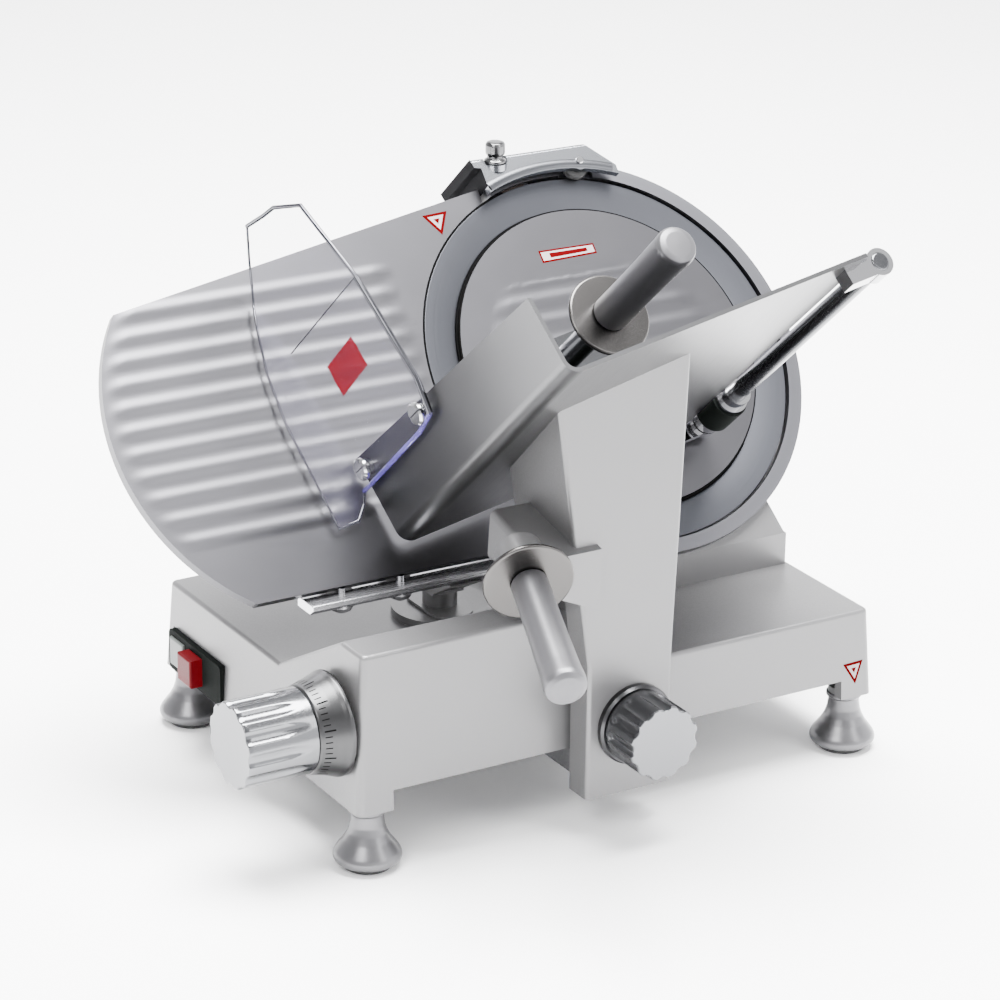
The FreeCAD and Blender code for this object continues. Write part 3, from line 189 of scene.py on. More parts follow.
def turned_metal(name, color, roughness, along_frame, grain=0.03, patch=0.04):
    """Metal turned on a lathe: fine rings round the axis of a frame."""
    finish = Finish(name, color, roughness, metallic=1.0)
    to_axis = finish.add("ShaderNodeMapping", vector_type="TEXTURE")
    to_axis.inputs["Location"].default_value = along_frame.translation * MM
    to_axis.inputs["Rotation"].default_value = along_frame.to_euler()
    finish.link(finish.place, to_axis.inputs["Vector"])
    split = finish.add("ShaderNodeSeparateXYZ")
    finish.link(to_axis.outputs["Vector"], split.inputs["Vector"])
    flat = finish.add("ShaderNodeCombineXYZ")
    finish.link(split.outputs["X"], flat.inputs["X"])
    finish.link(split.outputs["Y"], flat.inputs["Y"])
    radius = finish.add("ShaderNodeVectorMath", operation="LENGTH")
    finish.link(flat.outputs["Vector"], radius.inputs[0])
    rings = finish.add("ShaderNodeCombineXYZ")
    finish.link(radius.outputs["Value"], rings.inputs["X"])
    finish.link(split.outputs["Z"], rings.inputs["Y"])
    texture = finish.add("ShaderNodeTexNoise")
    texture.inputs["Scale"].default_value = 2200
    texture.inputs["Detail"].default_value = 2
    finish.link(rings.outputs["Vector"], texture.inputs["Vector"])
    cloud = finish.noise(16, detail=4.0)
    finish.tint(cloud, patch)
    finish.rough(texture.outputs["Fac"], grain)
    finish.bump(texture.outputs["Fac"], 0.05, 0.00004)
    return finish.material


def moulded(name, color, roughness, grain=1800.0, **sockets):
    """Moulded plastic or rubber with a fine texture and slight scuffs."""
    finish = Finish(name, color, roughness, **sockets)
    fine = finish.noise(grain, detail=3.0)
    scuff = finish.noise(45, (1, 4, 1), detail=5.0)
    finish.tint(scuff, 0.12)
    finish.rough(finish.product(fine, finish.spread(scuff, 0.8, 1.25)), 0.08)
    finish.bump(fine, 0.1, 0.00008)
    return finish.material


def clear_sheet(name, color, roughness, cover):
    """Clear acrylic with faint wiping marks; cover is the share of light it keeps back."""
    finish = Finish(name, color, roughness, Alpha=cover, Specular_IOR_Level=0.9)
    wiping = finish.noise(30, (1, 8, 1), detail=4.0)
    finish.rough(wiping, 0.02)
    return finish.material


def abrasive(name, color):
    """Bonded grinding stone: coarse grit."""
    finish = Finish(name, color, 0.9)
    grit = finish.noise(2500, detail=6.0)
    finish.tint(grit, 0.4)
    finish.bump(grit, 0.6, 0.0003)
    return finish.material


BLADE_TURN = (LEAN, 0, 0)
MATERIALS = {
    "cast_aluminium": cast("cast_aluminium", (0.130, 0.129, 0.131), 0.36, metallic=0.5),
    "polished_aluminium": cast("polished_aluminium", (0.135, 0.137, 0.143), 0.17, bump=0.03),
    "plate_aluminium": brushed("plate_aluminium", (0.090, 0.089, 0.096), 0.31, "X", BLADE_TURN,
                               grain=0.015, patch=0.02, bump=0.015),
    "sheet_aluminium": brushed("sheet_aluminium", (0.100, 0.100, 0.103), 0.32, "Z", BLADE_TURN,
                               grain=0.03, patch=0.02, bump=0.02),
    "ring_grey": turned_metal("ring_grey", (0.108, 0.108, 0.118), 0.38, BLADE),
    "blade_steel": turned_metal("blade_steel", (0.060, 0.062, 0.070), 0.36, BLADE),
    "turned_steel": brushed("turned_steel", (0.33, 0.32, 0.31), 0.20, "Z", grain=0.05, patch=0.03, bump=0.04),
    "chromed_steel": cast("chromed_steel", (0.46, 0.46, 0.47), 0.10, bump=0.02, patch=0.05),
    "dark_steel": cast("dark_steel", (0.16, 0.16, 0.17), 0.35),
    "cast_iron": cast("cast_iron", (0.12, 0.12, 0.125), 0.5, grain=500.0, bump=0.5),
    "motor_iron": cast("motor_iron", (0.10, 0.11, 0.12), 0.5, grain=500.0, bump=0.5),
    "bronze": cast("bronze", (0.55, 0.36, 0.15), 0.35),
    "black_plastic": moulded("black_plastic", (0.004, 0.005, 0.0045), 0.75, Specular_IOR_Level=0.04),
    "red_plastic": moulded("red_plastic", (0.075, 0.0, 0.002), 0.40, Specular_IOR_Level=0.1),
    "dark_button": moulded("dark_button", (0.085, 0.095, 0.090), 0.35, Specular_IOR_Level=0.3),
    "clear_acrylic": clear_sheet("clear_acrylic", (0.16, 0.15, 0.24), 0.08, 0.045),
    "foot_rubber": moulded("foot_rubber", (0.02, 0.02, 0.02), 0.7, grain=900.0),
    "belt_rubber": moulded("belt_rubber", (0.02, 0.02, 0.02), 0.6, grain=900.0),
    "grinding_stone": abrasive("grinding_stone", (0.05, 0.035, 0.03)),
    "truing_stone": abrasive("truing_stone", (0.04, 0.04, 0.04)),
}
GUARD_EDGE = cast("guard_edge", (0.085, 0.085, 0.095), 0.16, bump=0.02)
GRIP_METAL = satin("grip_metal", (0.108, 0.107, 0.113), 0.40, patch=0.03, metallic=0.8)
FOOT_METAL = satin("foot_metal", (0.120, 0.119, 0.124), 0.32, patch=0.03, metallic=0.8)
LOCK_RING_METAL = satin("lock_ring_metal", (0.050, 0.050, 0.052), 0.30, patch=0.03)
HOOD_FACE = satin("hood_face", (0.235, 0.243, 0.260), 0.24)
KNOB_METAL = satin("knob_metal", (0.110, 0.110, 0.112), 0.16)
GUARD_TINT = clear_sheet("guard_tint", (0.09, 0.07, 0.30), 0.10, 0.75)
ROD_DARK = cast("rod_dark", (0.11, 0.112, 0.118), 0.22, bump=0.02)
# Near-black painted shade for the hood's left side.
HOOD_SIDE_PAINTED_SHADE = moulded("hood_side_painted_shade", (0.006, 0.006, 0.007), 0.75, Specular_IOR_Level=0.05)
HOOD_LIP = satin("hood_lip", (0.070, 0.072, 0.078), 0.30)
SCALE_METAL = satin("scale_metal", (0.050, 0.050, 0.051), 0.30)
DISC_METAL = satin("disc_metal", (0.075, 0.072, 0.070), 0.26, patch=0.03)
BAR_METAL = brushed("bar_metal", (0.55, 0.55, 0.57), 0.26, grain=0.04, patch=0.03, bump=0.04)
STICKER_RED = moulded("sticker_red", (0.055, 0.0, 0.001), 0.9, Specular_IOR_Level=0.02)
STICKER_WHITE = moulded("sticker_white", (0.30, 0.255, 0.26), 0.5, Specular_IOR_Level=0.1)
# Near-black for the printed scale ticks, and for painted shade in the gaps round the blade cover and along
# the blade's edge.
PRINT_AND_PAINTED_SHADE_BLACK = moulded("print_and_painted_shade_black", (0.003, 0.003, 0.003), 0.9, Specular_IOR_Level=0.0)

# CAD nodes that show a finish of their own in place of their slot's
NODE_FINISHES = {"sharpener_hood": HOOD_FACE, "lock_ring": LOCK_RING_METAL}

SLOTS = {part["node"]: part["material_slot"] for part in frame["record"]["subparts"]}
BODIES = {node: body
          for body, members in frame["record"]["behaviour"]["bodies"].items()
          for node in members}

for name, node in nodes.items():
    node.data.materials.clear()
    node.data.materials.append(NODE_FINISHES.get(name, MATERIALS[SLOTS[name]]))

# ---------------------------------------------------------------- building pieces


def piece(name, place, points, faces, node, material=None, stands_for=True, sharp=35, bevel=0.0):
    """A mesh piece made from points in a frame. It rides with its CAD node's body and takes its slot."""
    mesh = bpy.data.meshes.new(name)
    mesh.from_pydata([(place @ Vector(point)) * MM for point in points], [], faces)
    mesh.validate()
    made = bpy.data.objects.new(name, mesh)
    bpy.context.scene.collection.objects.link(made)
    mesh.materials.append(material or MATERIALS[SLOTS[node]])
    mesh.polygons.foreach_set("use_smooth", [True] * len(mesh.polygons))
    mesh.set_sharp_from_angle(angle=radians(sharp))
    if bevel:
        rounding = made.modifiers.new("rounding", "BEVEL")
        rounding.width = bevel * MM
        rounding.segments = 3
        rounding.angle_limit = radians(40)
        rounding.harden_normals = True
    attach(made, BODIES[node])
    if stands_for:
        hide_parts(node)
    return made


def rounded(profile, radius=0.6, steps=4):
    """A profile with its corners turned into small arcs."""
    result = [profile[0]]
    for before, corner, after in zip(profile, profile[1:], profile[2:]):
        corner_point = Vector(corner)
        inward = Vector(before) - corner_point
        outward = Vector(after) - corner_point
        reach = min(radius, inward.length * 0.45, outward.length * 0.45)
        start = corner_point + inward.normalized() * reach
        end = corner_point + outward.normalized() * reach
        for step in range(steps + 1):
            share = step / steps
            bend = start.lerp(corner_point, share).lerp(corner_point.lerp(end, share), share)
            result.append((bend.x, bend.y))
    result.append(profile[-1])
    return result


def grid_faces(rows, columns):
    """The faces of a grid of points that are listed row by row."""
    wide = columns + 1
    faces = []
    for low in range(0, rows * wide, wide):
        high = low + wide
        faces += [(low + side, low + side + 1, high + side + 1, high + side) for side in range(columns)]
    return faces


def ring_faces(rings, count):
    """The faces between rings of points, with the same count of points in each."""
    faces = []
    for low in range(0, (rings - 1) * count, count):
        high = low + count
        faces += [(low + step, low + (step + 1) % count, high + (step + 1) % count, high + step)
                  for step in range(count)]
    return faces


def end_faces(rings, count):
    """The two faces that close the first and the last ring."""
    last = (rings - 1) * count
    return [tuple(reversed(range(count))), tuple(range(last, last + count))]


def lathe(name, place, profile, node, count=96, radius=0.6, **options):
    """A solid of revolution from (radius, height) points, with no end faces where the profile closes."""
    rings = rounded(profile, radius)
    points = []
    for reach, height in rings:
        for step in range(count):
            angle = 2 * pi * step / count
            points.append((max(reach, 0.01) * cos(angle), max(reach, 0.01) * sin(angle), height))
    faces = ring_faces(len(rings), count)
    if profile[0] != profile[-1]:
        faces += end_faces(len(rings), count)
    return piece(name, place, points, faces, node, **options)


# a flute is scooped by a circle outside the grip, which moves further out towards the lower end
SCOOP_RADIUS = 8.2
SCOOP_OUTSIDE = 6.2
SCOOP_RUN_OUT = 3.4
FLUTE_POINTS = 24


def fluted(name, place, reach, low, high, node, fade_length=13.0, flutes=12, edge=0.8):
    """A grip with scooped flutes that run out towards its lower end and are open at its face."""
    count = flutes * FLUTE_POINTS
    foot = 0.5
    heights = [low, low + foot]
    steps = 14
    heights += [low + foot + (high - edge - low - foot) * step / steps for step in range(1, steps + 1)]
    heights += [high - edge * 0.4, high]
    points = []
    for level, height in enumerate(heights):
        fade = max(0.0, 1 - (height - low) / fade_length)
        inset = 0.0
        if level == 0:
            inset = foot
        if level == len(heights) - 2:
            inset = edge * 0.3
        if level == len(heights) - 1:
            inset = edge
        for step in range(count):
            angle = 2 * pi * step / count
            offset = (angle + pi / flutes) % (2 * pi / flutes) - pi / flutes
            radius = reach
            away = reach + SCOOP_OUTSIDE + SCOOP_RUN_OUT * fade ** 1.6
            half = SCOOP_RADIUS ** 2 - (away * sin(offset)) ** 2
            if half > 0:
                radius = min(radius, away * cos(offset) - sqrt(half))
            radius -= inset
            points.append((radius * cos(angle), radius * sin(angle), height))
    faces = ring_faces(len(heights), count) + end_faces(len(heights), count)
    return piece(name, place, points, faces, node, sharp=28)


def tube(name, place, route, radius, node, material=None):
    """A thin round edge along a route of points."""
    curve = bpy.data.curves.new(name, "CURVE")
    curve.dimensions = "3D"
    curve.bevel_depth = radius * MM
    curve.bevel_resolution = 3
    spline = curve.splines.new("POLY")
    spline.points.add(len(route) - 1)
    for target, point in zip(spline.points, route):
        target.co = (*((place @ Vector(point)) * MM), 1)
    made = bpy.data.objects.new(name, curve)
    bpy.context.scene.collection.objects.link(made)
    curve.materials.append(material or MATERIALS[SLOTS[node]])
    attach(made, BODIES[node])
    return made


# ---------------------------------------------------------------- gauge plate

PLATE_LEFT = Vector((-245.0, 0))
PLATE_RADIUS = 167.0
PLATE_GAP_RADIUS = 151.5
PLATE_TOP = 151.3
PLATE_TOP_SLOPE = tan(radians(9.2))
PLATE_RIGHT = -57.5
PLATE_BOTTOM = -134.0
RIB_TOP = 98.0
RIB_PITCH = 17.8
RIB_COUNT = 11
RIB_DEPTH = 0.62
RIB_FADE_LEFT = 14
RIB_FADE_RIGHT = 16
RIBS_END = -152
PLATE_THICKNESS = 8
LUG_LEFTS = (40, 88)
LUG_WIDTH = 20
LUG_SIDE = [(123, 158), (131, 158), (149, 176), (143, 181)]


def rib_height(across, up, left, right):
    """Height of the soft ribs at a point, fading out at both ends."""
    place = (RIB_TOP - up) / RIB_PITCH
    if place < -0.5 or place > RIB_COUNT - 0.5:
        return 0.0
    wave = RIB_DEPTH * (0.5 + 0.5 * cos(2 * pi * place)) ** 1.2
    left_fade = min(max((across - left) / RIB_FADE_LEFT, 0), 1)
    right_fade = min(max((right - across) / RIB_FADE_RIGHT, 0), 1)
    return wave * (left_fade * right_fade)


def crossing(row, circle, radius):
    """Where a row's slanted line meets a circle on its left side."""
    low, slope = row
    a = 1 + slope * slope
    b = slope * low - circle.x
    c = circle.x * circle.x + low * low - radius * radius
    inside = b * b - a * c
    if inside < 0:
        return None
    return (-b - sqrt(inside)) / a


def gauge_plate():
    """The ribbed plate with its round left end and the arc cut for the blade, and its two lugs."""
    rows = 216
    columns = 96
    points = []
    for row in range(rows + 1):
        share = row / rows
        rise = PLATE_TOP - PLATE_RIGHT * PLATE_TOP_SLOPE - PLATE_BOTTOM
        line = (PLATE_BOTTOM + share * rise, share * PLATE_TOP_SLOPE)
        left = crossing(line, PLATE_LEFT, PLATE_RADIUS)
        right = crossing(line, Vector((0.0, 0)), PLATE_GAP_RADIUS)
        right = PLATE_RIGHT if right is None else min(right, PLATE_RIGHT)
        for column in range(columns + 1):
            across = left + (right - left) * column / columns
            up = line[0] + line[1] * across
            points.append((across, up, rib_height(across, up, left + 3, RIBS_END)))
    faces = grid_faces(rows, columns)
    wide = columns + 1
    rim = list(range(wide))
    rim += [row * wide + columns for row in range(1, rows + 1)]
    rim += [rows * wide + column for column in range(columns - 1, -1, -1)]
    rim += [row * wide for row in range(rows - 1, 0, -1)]
    first = len(points)
    points += [(points[index][0], points[index][1], -PLATE_THICKNESS) for index in rim]
    count = len(rim)
    for step in range(count):
        after = (step + 1) % count
        faces.append((rim[after], rim[step], first + step, first + after))
    faces.append(tuple(range(first + count - 1, first - 1, -1)))
    piece("gauge_plate_ribbed", BLADE, points, faces, "gauge_plate", sharp=50)
    for number, x in enumerate(LUG_LEFTS):
        lug = [(x, y, z) for y, z in LUG_SIDE] + [(x + LUG_WIDTH, y, z) for y, z in LUG_SIDE]
        sides = [(3, 2, 1, 0), (4, 5, 6, 7), (0, 1, 5, 4), (1, 2, 6, 5), (2, 3, 7, 6), (3, 0, 4, 7)]
        piece(f"gauge_lug_{number}", BASE, lug, sides, "gauge_plate", MATERIALS["cast_aluminium"], False)


gauge_plate()

# ---------------------------------------------------------------- blade cover and blade

COVER_RADIUS = 122.2
COVER_FACE = 2.5
COVER_BACK = -3
COVER_RIB_REACH = 96
COVER_RIBS_LOW = -60
COVER_RIBS_HIGH = 68
COVER_RIB_SHIFT = 26.8
COVER_RIB_SHARE = 0.9


def blade_cover():
    """The flat cover with soft ribs across its middle."""
    rings = 70
    count = 192
    points = [(0, 0, COVER_FACE)]
    for ring in range(1, rings + 1):
        reach = COVER_RADIUS * (ring / rings) ** 0.8
        for step in range(count):
            angle = 2 * pi * step / count
            across = reach * cos(angle)
            up = reach * sin(angle)
            span = sqrt(max(COVER_RIB_REACH ** 2 - up ** 2, 0))
            rib = 0.0
            if COVER_RIBS_LOW < up < COVER_RIBS_HIGH:
                rib = COVER_RIB_SHARE * rib_height(across, up + COVER_RIB_SHIFT, -span - 2, span + 2)
            points.append((across, up, COVER_FACE + rib))
    faces = [(0, 1 + step, 1 + (step + 1) % count) for step in range(count)]
    for ring in range(rings - 1):
        for step in range(count):
            after = (step + 1) % count
            low = 1 + ring * count
            high = low + count
            faces.append((low + step, high + step, high + after, low + after))
    last = 1 + (rings - 1) * count
    base = len(points)
    for step in range(count):
        angle = 2 * pi * step / count
        points.append((COVER_RADIUS * cos(angle), COVER_RADIUS * sin(angle), COVER_BACK))
    for step in range(count):
        after = (step + 1) % count
        faces.append((last + step, base + step, base + after, last + after))
    faces.append(tuple(range(base + count - 1, base - 1, -1)))
    piece("blade_cover_ribbed", BLADE, points, faces, "blade_cover", sharp=40)


blade_cover()

BLADE_RADIUS = 150.0
BLADE_BORE = 26
BLADE_SHAPE = [(BLADE_BORE, -12), (118, -9), (134, -7), (BLADE_RADIUS - 0.2, -0.7), (BLADE_RADIUS, -0.3),
               (BLADE_RADIUS - 0.4, -0.02), (124.9, -2.2), (120.4, -5.6), (BLADE_BORE, -9), (BLADE_BORE, -12)]
lathe("blade_ground", BLADE, BLADE_SHAPE, "blade", count=256, radius=0.15)

# ---------------------------------------------------------------- turned pieces

FOOT_CENTRES = [(11, 11), (417, 11), (11, 289), (417, 289)]
FOOT = [(0, 4), (19, 4), (23, 5), (24.5, 7.5), (24.5, 10), (23.4, 12.6), (21, 16), (17.2, 21),
        (14.2, 26.5), (12.4, 32), (11.6, 38), (11.6, 41), (13.4, 42), (13.4, 45), (5, 45), (5, 50), (0, 50)]
CONE_FOOT = (34.4, 14)
CONE_HEAD = (32.6, 21)
SCALE_RING = [(6, 0.6), (36.8, 0.6), (38, 1.6), (38, 4.4), (36.6, 7.5), CONE_FOOT, CONE_HEAD,
              (31.9, 24.8), (30.6, 26), (6, 26)]
CARRIAGE_GRIP = [(0, -14), (5, -14), (5, 4.2), (11.4, 4.2), (13.2, 5.4), (13.2, 40), (13.4, 60),
                 (14.2, 96), (15, 108), (15, 110), (14.2, 113.2), (11, 115.6), (6, 116.8), (0, 117)]
CARRIAGE_DISC = [(5, 0), (30.6, 0), (32, 1), (32, 3), (30.6, 4), (5, 4)]
PUSHER_GRIP = [(0, 89), (4, 89), (4, 109.2), (12, 109.2), (13.8, 110.8), (13.8, 150), (14.1, 180),
               (15, 214), (15.3, 219), (15, 222), (13.8, 224.4), (10, 225.6), (0, 226)]
PUSHER_DISC = [(4, 105), (30.8, 105), (32, 106), (32, 108), (30.8, 109), (4, 109)]
HOOD_KNOB_SHAPE = [(0, -7), (3, -7), (3, 0), (7.6, 0), (8.6, 1), (8.6, 2.6), (6.4, 4), (6.2, 6),
                   (7.2, 7), (7.6, 8.4), (7.6, 14.4), (6.8, 16.2), (5, 16.9), (0, 17)]
ROD_SHAPE = [(0, 11), (6, 11), (7, 12), (7, 297), (6, 298), (0, 298)]
# GAP_SHAPE is a black ring of painted shade in the seam between the blade cover's rim and the blade.
GAP_SHAPE = [(122.25, -1.9), (124.4, -1.9), (124.4, -0.7), (123.4, -0.6), (123.4, 2.3),
             (122.25, 2.52), (122.25, -1.9)]
PUSHER_HANDLE = TRAY @ shift(-54.5, 3)

for number, (x, y) in enumerate(FOOT_CENTRES):
    lathe(f"foot_{number}", BASE @ shift(x, y), FOOT, "feet", material=FOOT_METAL, radius=1.2)

lathe("thickness_scale_ring", KNOB, SCALE_RING, "index_ring", material=SCALE_METAL, radius=0.8)
fluted("thickness_grip", KNOB, 31.0, 26.2, 80.0, "thickness_knob", fade_length=26.0)
fluted("lock_grip", LOCK, 27.5, 6.6, 41.0, "lock_knob", fade_length=9.0)
lathe("carriage_grip", HANDLE, CARRIAGE_GRIP, "carriage_handle", material=GRIP_METAL, radius=0.8)
lathe("carriage_hand_disc", HANDLE, CARRIAGE_DISC, "handle_flange", material=DISC_METAL, radius=0.8)
lathe("pusher_grip", PUSHER_HANDLE, PUSHER_GRIP, "pusher_handle", material=GRIP_METAL, radius=0.8)
lathe("pusher_hand_disc", PUSHER_HANDLE, PUSHER_DISC, "pusher_disc", material=DISC_METAL, radius=0.7)
lathe("hood_knob", HOOD_KNOB, HOOD_KNOB_SHAPE, "sharpener_knob", material=KNOB_METAL, radius=0.5)

lathe("pusher_rod_polished", ROD, ROD_SHAPE, "pusher_rod", material=ROD_DARK)
# blade_gap: black ring laid as painted shade over the cover's rim, in the seam round the blade cover.
lathe("blade_gap", BLADE, GAP_SHAPE, "blade_cover", count=192, material=PRINT_AND_PAINTED_SHADE_BLACK, stands_for=False,
      radius=0.1)


def ring_gap():
    """A black strip laid as painted shade in the gap between the blade's edge and the gauge plate, along the
    upper left arc; it also covers the blade's outer rim.
    """
    start = radians(106)
    end = radians(228)
    steps = 120
    points = []
    for step in range(steps + 1):
        angle = start + (end - start) * step / steps
        points += [(reach * cos(angle), reach * sin(angle), height)
                   for reach, height in [(149.7, 0.03), (151.45, 0.03), (151.45, -6)]]
    faces = [(3 * step + side, 3 * step + 3 + side, 3 * step + 4 + side, 3 * step + 1 + side)
             for step in range(steps) for side in (0, 1)]
    piece("ring_gap", BLADE, points, faces, "blade_housing", PRINT_AND_PAINTED_SHADE_BLACK, stands_for=False)


ring_gap()


def support_bar():
    """The polished bar under the gauge plate, with its lower front edge bevelled."""
    section = [(107, 158), (107, 154), (112, 150), (131, 150), (131, 158)]
    points = [(x, y, z) for x in (20, 192) for y, z in section]
    count = len(section)
    faces = [tuple(range(count)), tuple(reversed(range(count, 2 * count)))]
    for step in range(count):
        after = (step + 1) % count
        faces.append((after, step, count + step, count + after))
    piece("support_bar_bevelled", BASE, points, faces, "support_bar", BAR_METAL, bevel=0.8)


support_bar()


def hood_cheek():
    """A near-black sheet laid on the hood's left side as painted shade, stepped where the gauge plate passes
    under it.
    """
    route = [(-56.55, 147), (-56.55, 162.2), (-62.1, 163.45), (-63.55, 170.9)]
    points = [(u, v, n) for n in (-44.9, 13.9) for u, v in route]
    count = len(route)
    faces = [(step, step + 1, count + step + 1, count + step) for step in range(count - 1)]
    piece("hood_cheek", BLADE, points, faces, "sharpener_hood", HOOD_SIDE_PAINTED_SHADE, stands_for=False)


def hood_lip():
    """Rolled lip that follows the arc along the hood's front edge."""
    section = [(152.7, 13.2), (152.9, 14.1), (154.0, 14.9), (158.4, 14.9), (160.0, 14.05)]
    start = radians(110.8)
    end = radians(69.6)
    steps = 72
    points = []
    for step in range(steps + 1):
        angle = start + (end - start) * step / steps
        points += [(reach * cos(angle), reach * sin(angle), height) for reach, height in section]
    faces = grid_faces(steps, len(section) - 1)
    piece("hood_lip", BLADE, points, faces, "sharpener_hood", HOOD_LIP, stands_for=False, sharp=60)


hood_cheek()
hood_lip()

# ---------------------------------------------------------------- clear guard's edges

SIDE_PANEL_X = -246.5
TOP_PANEL_LEAN = radians(8)
TOP_PANEL_FOOT = 88
WING_Z = 6.5


def on_top_panel(along, depth):
    """A point in the leaning top panel, in the tray frame."""
    across = SIDE_PANEL_X - sin(TOP_PANEL_LEAN) * along
    up = TOP_PANEL_FOOT + cos(TOP_PANEL_LEAN) * along
    return (across, up, depth)


side_edge = [(SIDE_PANEL_X, y, z) for y, z in [(-27, 6), (-27, 113), (-23, 138.6), (2, 145.6), (87.5, 139)]]
top_edge = [on_top_panel(y, z) for y, z in [(0, 139), (64, 134), (79, 103.4), (81.5, 85.8), (86.5, 60)]]
left_edge = [on_top_panel(y, z) for y, z in [(86.5, 60), (69, 34.6), (47, 6)]]
wing_outline = [(-255, 131.6), (-262, 112.6), (-271.8, 79.8), (-277.6, 40), (-279.6, -45.6),
                (-262.4, -45.6), (-252.6, -36), (-246.5, -27)]
wing_edge = [(x, y, WING_Z) for x, y in wing_outline]
bend_edge = [(SIDE_PANEL_X, TOP_PANEL_FOOT, z) for z in (8, 137)]
tube("guard_side_edge", TRAY, side_edge[2:], 2.3, "safety_guard", GUARD_EDGE)
tube("guard_top_edge", TRAY, top_edge, 1.6, "safety_guard", GUARD_EDGE)
tube("guard_left_edge", TRAY, left_edge + wing_edge, 0.9, "safety_guard", GUARD_EDGE)
tube("guard_low_edge", TRAY, side_edge[:3], 1.8, "safety_guard", GUARD_TINT)
tube("guard_bend", TRAY, bend_edge, 0.5, "safety_guard", GUARD_EDGE)

# ---------------------------------------------------------------- stickers and scale marks


def flat(across, up):
    return 0.0


FAR_LEFT = -400
DECK_HEIGHT = 113
WALL_DRAFT = radians(3.2)


def plate_surface(across, up):
    return rib_height(across, up, FAR_LEFT, RIBS_END)


def cover_surface(across, up):
    return COVER_FACE


def front_wall(across, up):
    """How far the drafted front wall stands out, for a sticker whose plane faces the operator."""
    return tan(WALL_DRAFT) * (DECK_HEIGHT - up)


def sticker(name, place, corners, surface, lift, node, material):
    """A thin patch over a four-sided outline that follows the surface under it."""
    steps = 14
    lower_left, lower_right, upper_right, upper_left = [Vector(corner) for corner in corners]
    points = []
    for row in range(steps + 1):
        left = lower_left.lerp(upper_left, row / steps)
        right = lower_right.lerp(upper_right, row / steps)
        for column in range(steps + 1):
            spot = left.lerp(right, column / steps)
            points.append((spot.x, spot.y, surface(spot.x, spot.y) + lift))
    return piece(name, place, points, grid_faces(steps, steps), node, material, stands_for=False)


def shrunk(corners, share):
    """The same outline pulled towards its middle."""
    middle = sum((Vector(corner) for corner in corners), Vector((0, 0))) / len(corners)
    return [tuple(Vector(corner).lerp(middle, share)) for corner in corners]


def four_sided(triangle):
    """A triangle as a four-sided outline whose tip counts twice."""
    left, right, tip = triangle
    return [tip, right, left, tip]


def warning_triangle(name, place, corners, surface, node):
    """A red downward triangle with a pale middle and a red dot."""
    pale = shrunk(corners, 0.36)
    dot = shrunk(corners, 0.76)
    sticker(f"{name}_red", place, four_sided(corners), surface, 0.1, node, STICKER_RED)
    sticker(f"{name}_pale", place, four_sided(pale), surface, 0.2, node, STICKER_WHITE)
    sticker(f"{name}_dot", place, four_sided(dot), surface, 0.3, node, STICKER_RED)


FRONT_WALL = BASE @ Matrix.Rotation(radians(90), 4, "X")
PLATE_TRIANGLE = [(-111.5, 137.2), (-89.9, 138.1), (-100.2, 119.4)]
BASE_TRIANGLE = [(405.2, 73), (423, 73.6), (416.4, 55.6)]
DIAMOND = [(-225.7, 6.6), (-197.9, 27.6), (-203, 52), (-230.1, 31.7)]
LABEL = [(-27.2, 82.5), (21.4, 83.4), (21.1, 92.0), (-27.6, 92.7)]
LABEL_PALE = [(-25.8, 84.0), (20.0, 84.8), (19.7, 90.6), (-26.2, 91.2)]
LABEL_BAR = [(-19, 85.8), (14, 86.3), (13.8, 89.2), (-19.2, 89.6)]

warning_triangle("plate_mark", BLADE, PLATE_TRIANGLE, flat, "gauge_plate")
warning_triangle("base_mark", FRONT_WALL, BASE_TRIANGLE, front_wall, "base_housing")
sticker("plate_diamond", BLADE, DIAMOND, plate_surface, 0.1, "gauge_plate", STICKER_RED)
sticker("cover_label_red", BLADE, LABEL, cover_surface, 0.1, "blade_cover", STICKER_RED)
sticker("cover_label_pale", BLADE, LABEL_PALE, cover_surface, 0.2, "blade_cover", STICKER_WHITE)
sticker("cover_label_bar", BLADE, LABEL_BAR, cover_surface, 0.3, "blade_cover", STICKER_RED)


def scale_marks():
    """Short dark ticks round the cone of the thickness scale, every fifth one longer."""
    count = 50
    lift = 0.12
    foot_radius, foot_height = CONE_FOOT
    slope = (foot_radius - CONE_HEAD[0]) / (CONE_HEAD[1] - foot_height)
    points = []
    faces = []
    for number in range(count):
        angle = 2 * pi * number / count
        low, high = (14.6, 22.5) if number % 5 == 0 else (17.5, 22.5)
        half = 0.016 if number % 5 == 0 else 0.011
        first = len(points)
        for height in (low, high):
            reach = foot_radius - slope * (height - foot_height) + lift
            for side in (-half, half):
                points.append((reach * cos(angle + side), reach * sin(angle + side), height))
        faces.append((first, first + 1, first + 3, first + 2))
    piece("scale_marks", KNOB, points, faces, "index_ring", PRINT_AND_PAINTED_SHADE_BLACK, stands_for=False)


scale_marks()

# ---------------------------------------------------------------- floor, lights and camera


def floor():
    mesh = bpy.data.meshes.new("floor")
    reach = 12
    mesh.from_pydata([(-reach, -reach, 0), (reach, -reach, 0), (reach, reach, 0), (-reach, reach, 0)], [],
                     [(0, 1, 2, 3)])
    made = bpy.data.objects.new("floor", mesh)
    bpy.context.scene.collection.objects.link(made)
    finish = Finish("floor_paper", (0.985, 0.985, 0.985), 0.85)
    finish.tint(finish.noise(3), 0.01)
    mesh.materials.append(finish.material)


def lamp(name, place, target, size, power, color=(1, 1, 1)):
    light = bpy.data.lights.new(name, "AREA")
    light.shape = "RECTANGLE"
    light.size, light.size_y = size
    light.energy = power
    light.color = color
    made = bpy.data.objects.new(name, light)
    made.location = place
    made.rotation_euler = (Vector(target) - Vector(place)).to_track_quat("-Z", "Y").to_euler()
    bpy.context.scene.collection.objects.link(made)


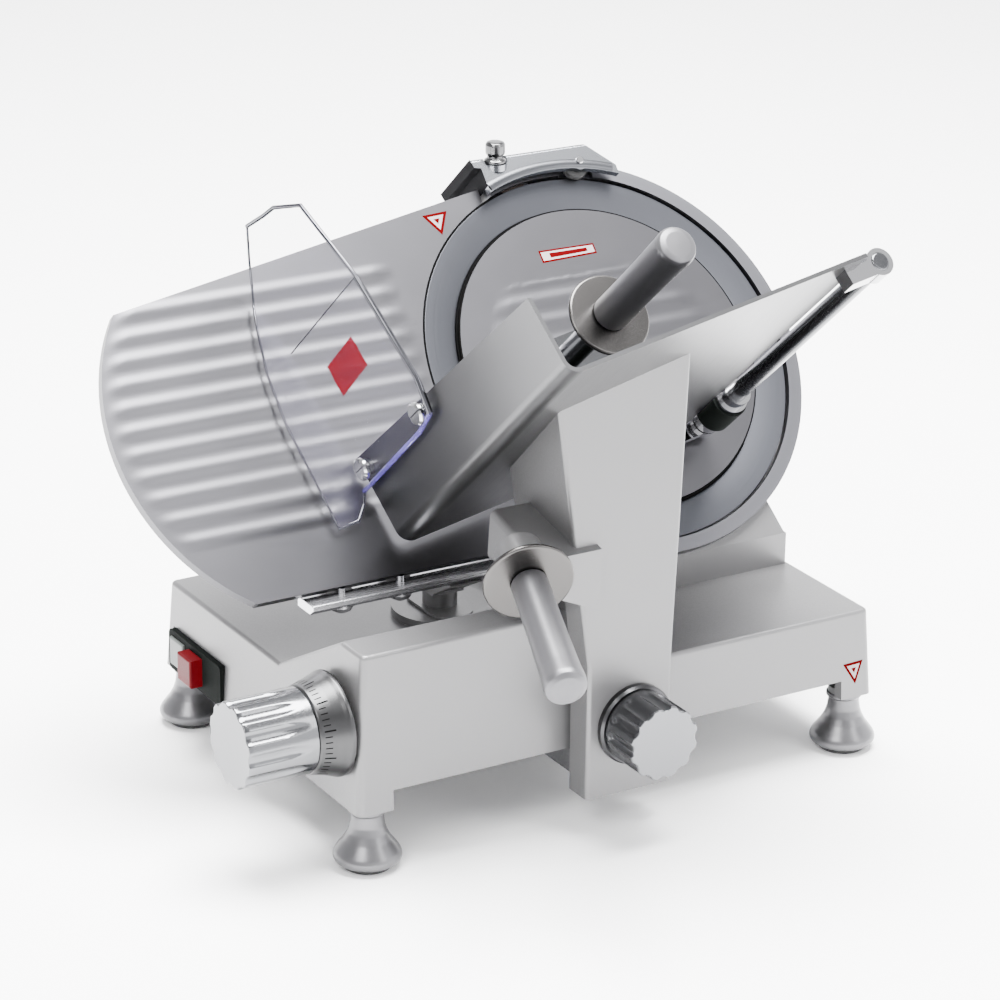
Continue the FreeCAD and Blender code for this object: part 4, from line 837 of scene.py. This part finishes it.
def world():
    """A studio dome: bright up to about 25 degrees, darker overhead, and dimmer to the operator's left."""
    sky = bpy.data.worlds.new("studio")
    sky.use_nodes = True
    tree = sky.node_tree
    background = tree.nodes["Background"]
    place = tree.nodes.new("ShaderNodeTexCoord")
    split = tree.nodes.new("ShaderNodeSeparateXYZ")
    tree.links.new(place.outputs["Generated"], split.inputs["Vector"])
    ramp = tree.nodes.new("ShaderNodeValToRGB")
    stops = [(0.0, 0.80), (0.50, 0.90), (0.57, 0.95), (0.71, 0.90), (0.78, 0.30), (0.90, 0.40), (1.0, 0.30)]
    bands = ramp.color_ramp.elements
    while len(bands) < len(stops):
        bands.new(0.5)
    for band, (position, value) in zip(bands, stops):
        band.position = position
        band.color = (value, value, value * 1.02, 1)
    height = tree.nodes.new("ShaderNodeMapRange")
    height.inputs["From Min"].default_value = -1
    height.inputs["From Max"].default_value = 1
    tree.links.new(split.outputs["Z"], height.inputs["Value"])
    tree.links.new(height.outputs["Result"], ramp.inputs["Fac"])
    side = tree.nodes.new("ShaderNodeMapRange")
    side.inputs["From Min"].default_value = -1
    side.inputs["From Max"].default_value = 1
    side.inputs["To Min"].default_value = 1.3
    side.inputs["To Max"].default_value = 5.0
    tree.links.new(split.outputs["X"], side.inputs["Value"])
    tree.links.new(side.outputs["Result"], background.inputs["Strength"])
    tree.links.new(ramp.outputs["Color"], background.inputs["Color"])
    bpy.context.scene.world = sky


def camera():
    azimuth = radians(-30.74)
    elevation = radians(21.26)
    roll = radians(0.68)
    distance = 2555.0
    target = Vector((109.04, 0, 259.03)) + CORNER
    back = Vector((sin(azimuth) * cos(elevation), -cos(azimuth) * cos(elevation), sin(elevation)))
    right = Vector((cos(azimuth), sin(azimuth), 0))
    up = back.cross(right)
    right_rolled = right * cos(roll) + up * sin(roll)
    up_rolled = up * cos(roll) - right * sin(roll)
    data = bpy.data.cameras.new("camera")
    data.sensor_width = 36
    data.lens = 134.1144
    made = bpy.data.objects.new("camera", data)
    turn = Matrix((right_rolled, up_rolled, back)).transposed().to_4x4()
    made.matrix_world = Matrix.Translation((target + back * distance) * MM) @ turn
    bpy.context.scene.collection.objects.link(made)
    bpy.context.scene.camera = made


floor()
world()
lamp("key", (-1.8, -1.2, 2.2), (0, 0, 0.2), (1.2, 1.0), 70)
lamp("front", (1.2, -2.2, 1.9), (0, 0, 0.2), (0.7, 1.6), 36)
lamp("top", (0.2, 0.2, 3.0), (0, 0, 0.2), (2.4, 1.8), 900)
camera()
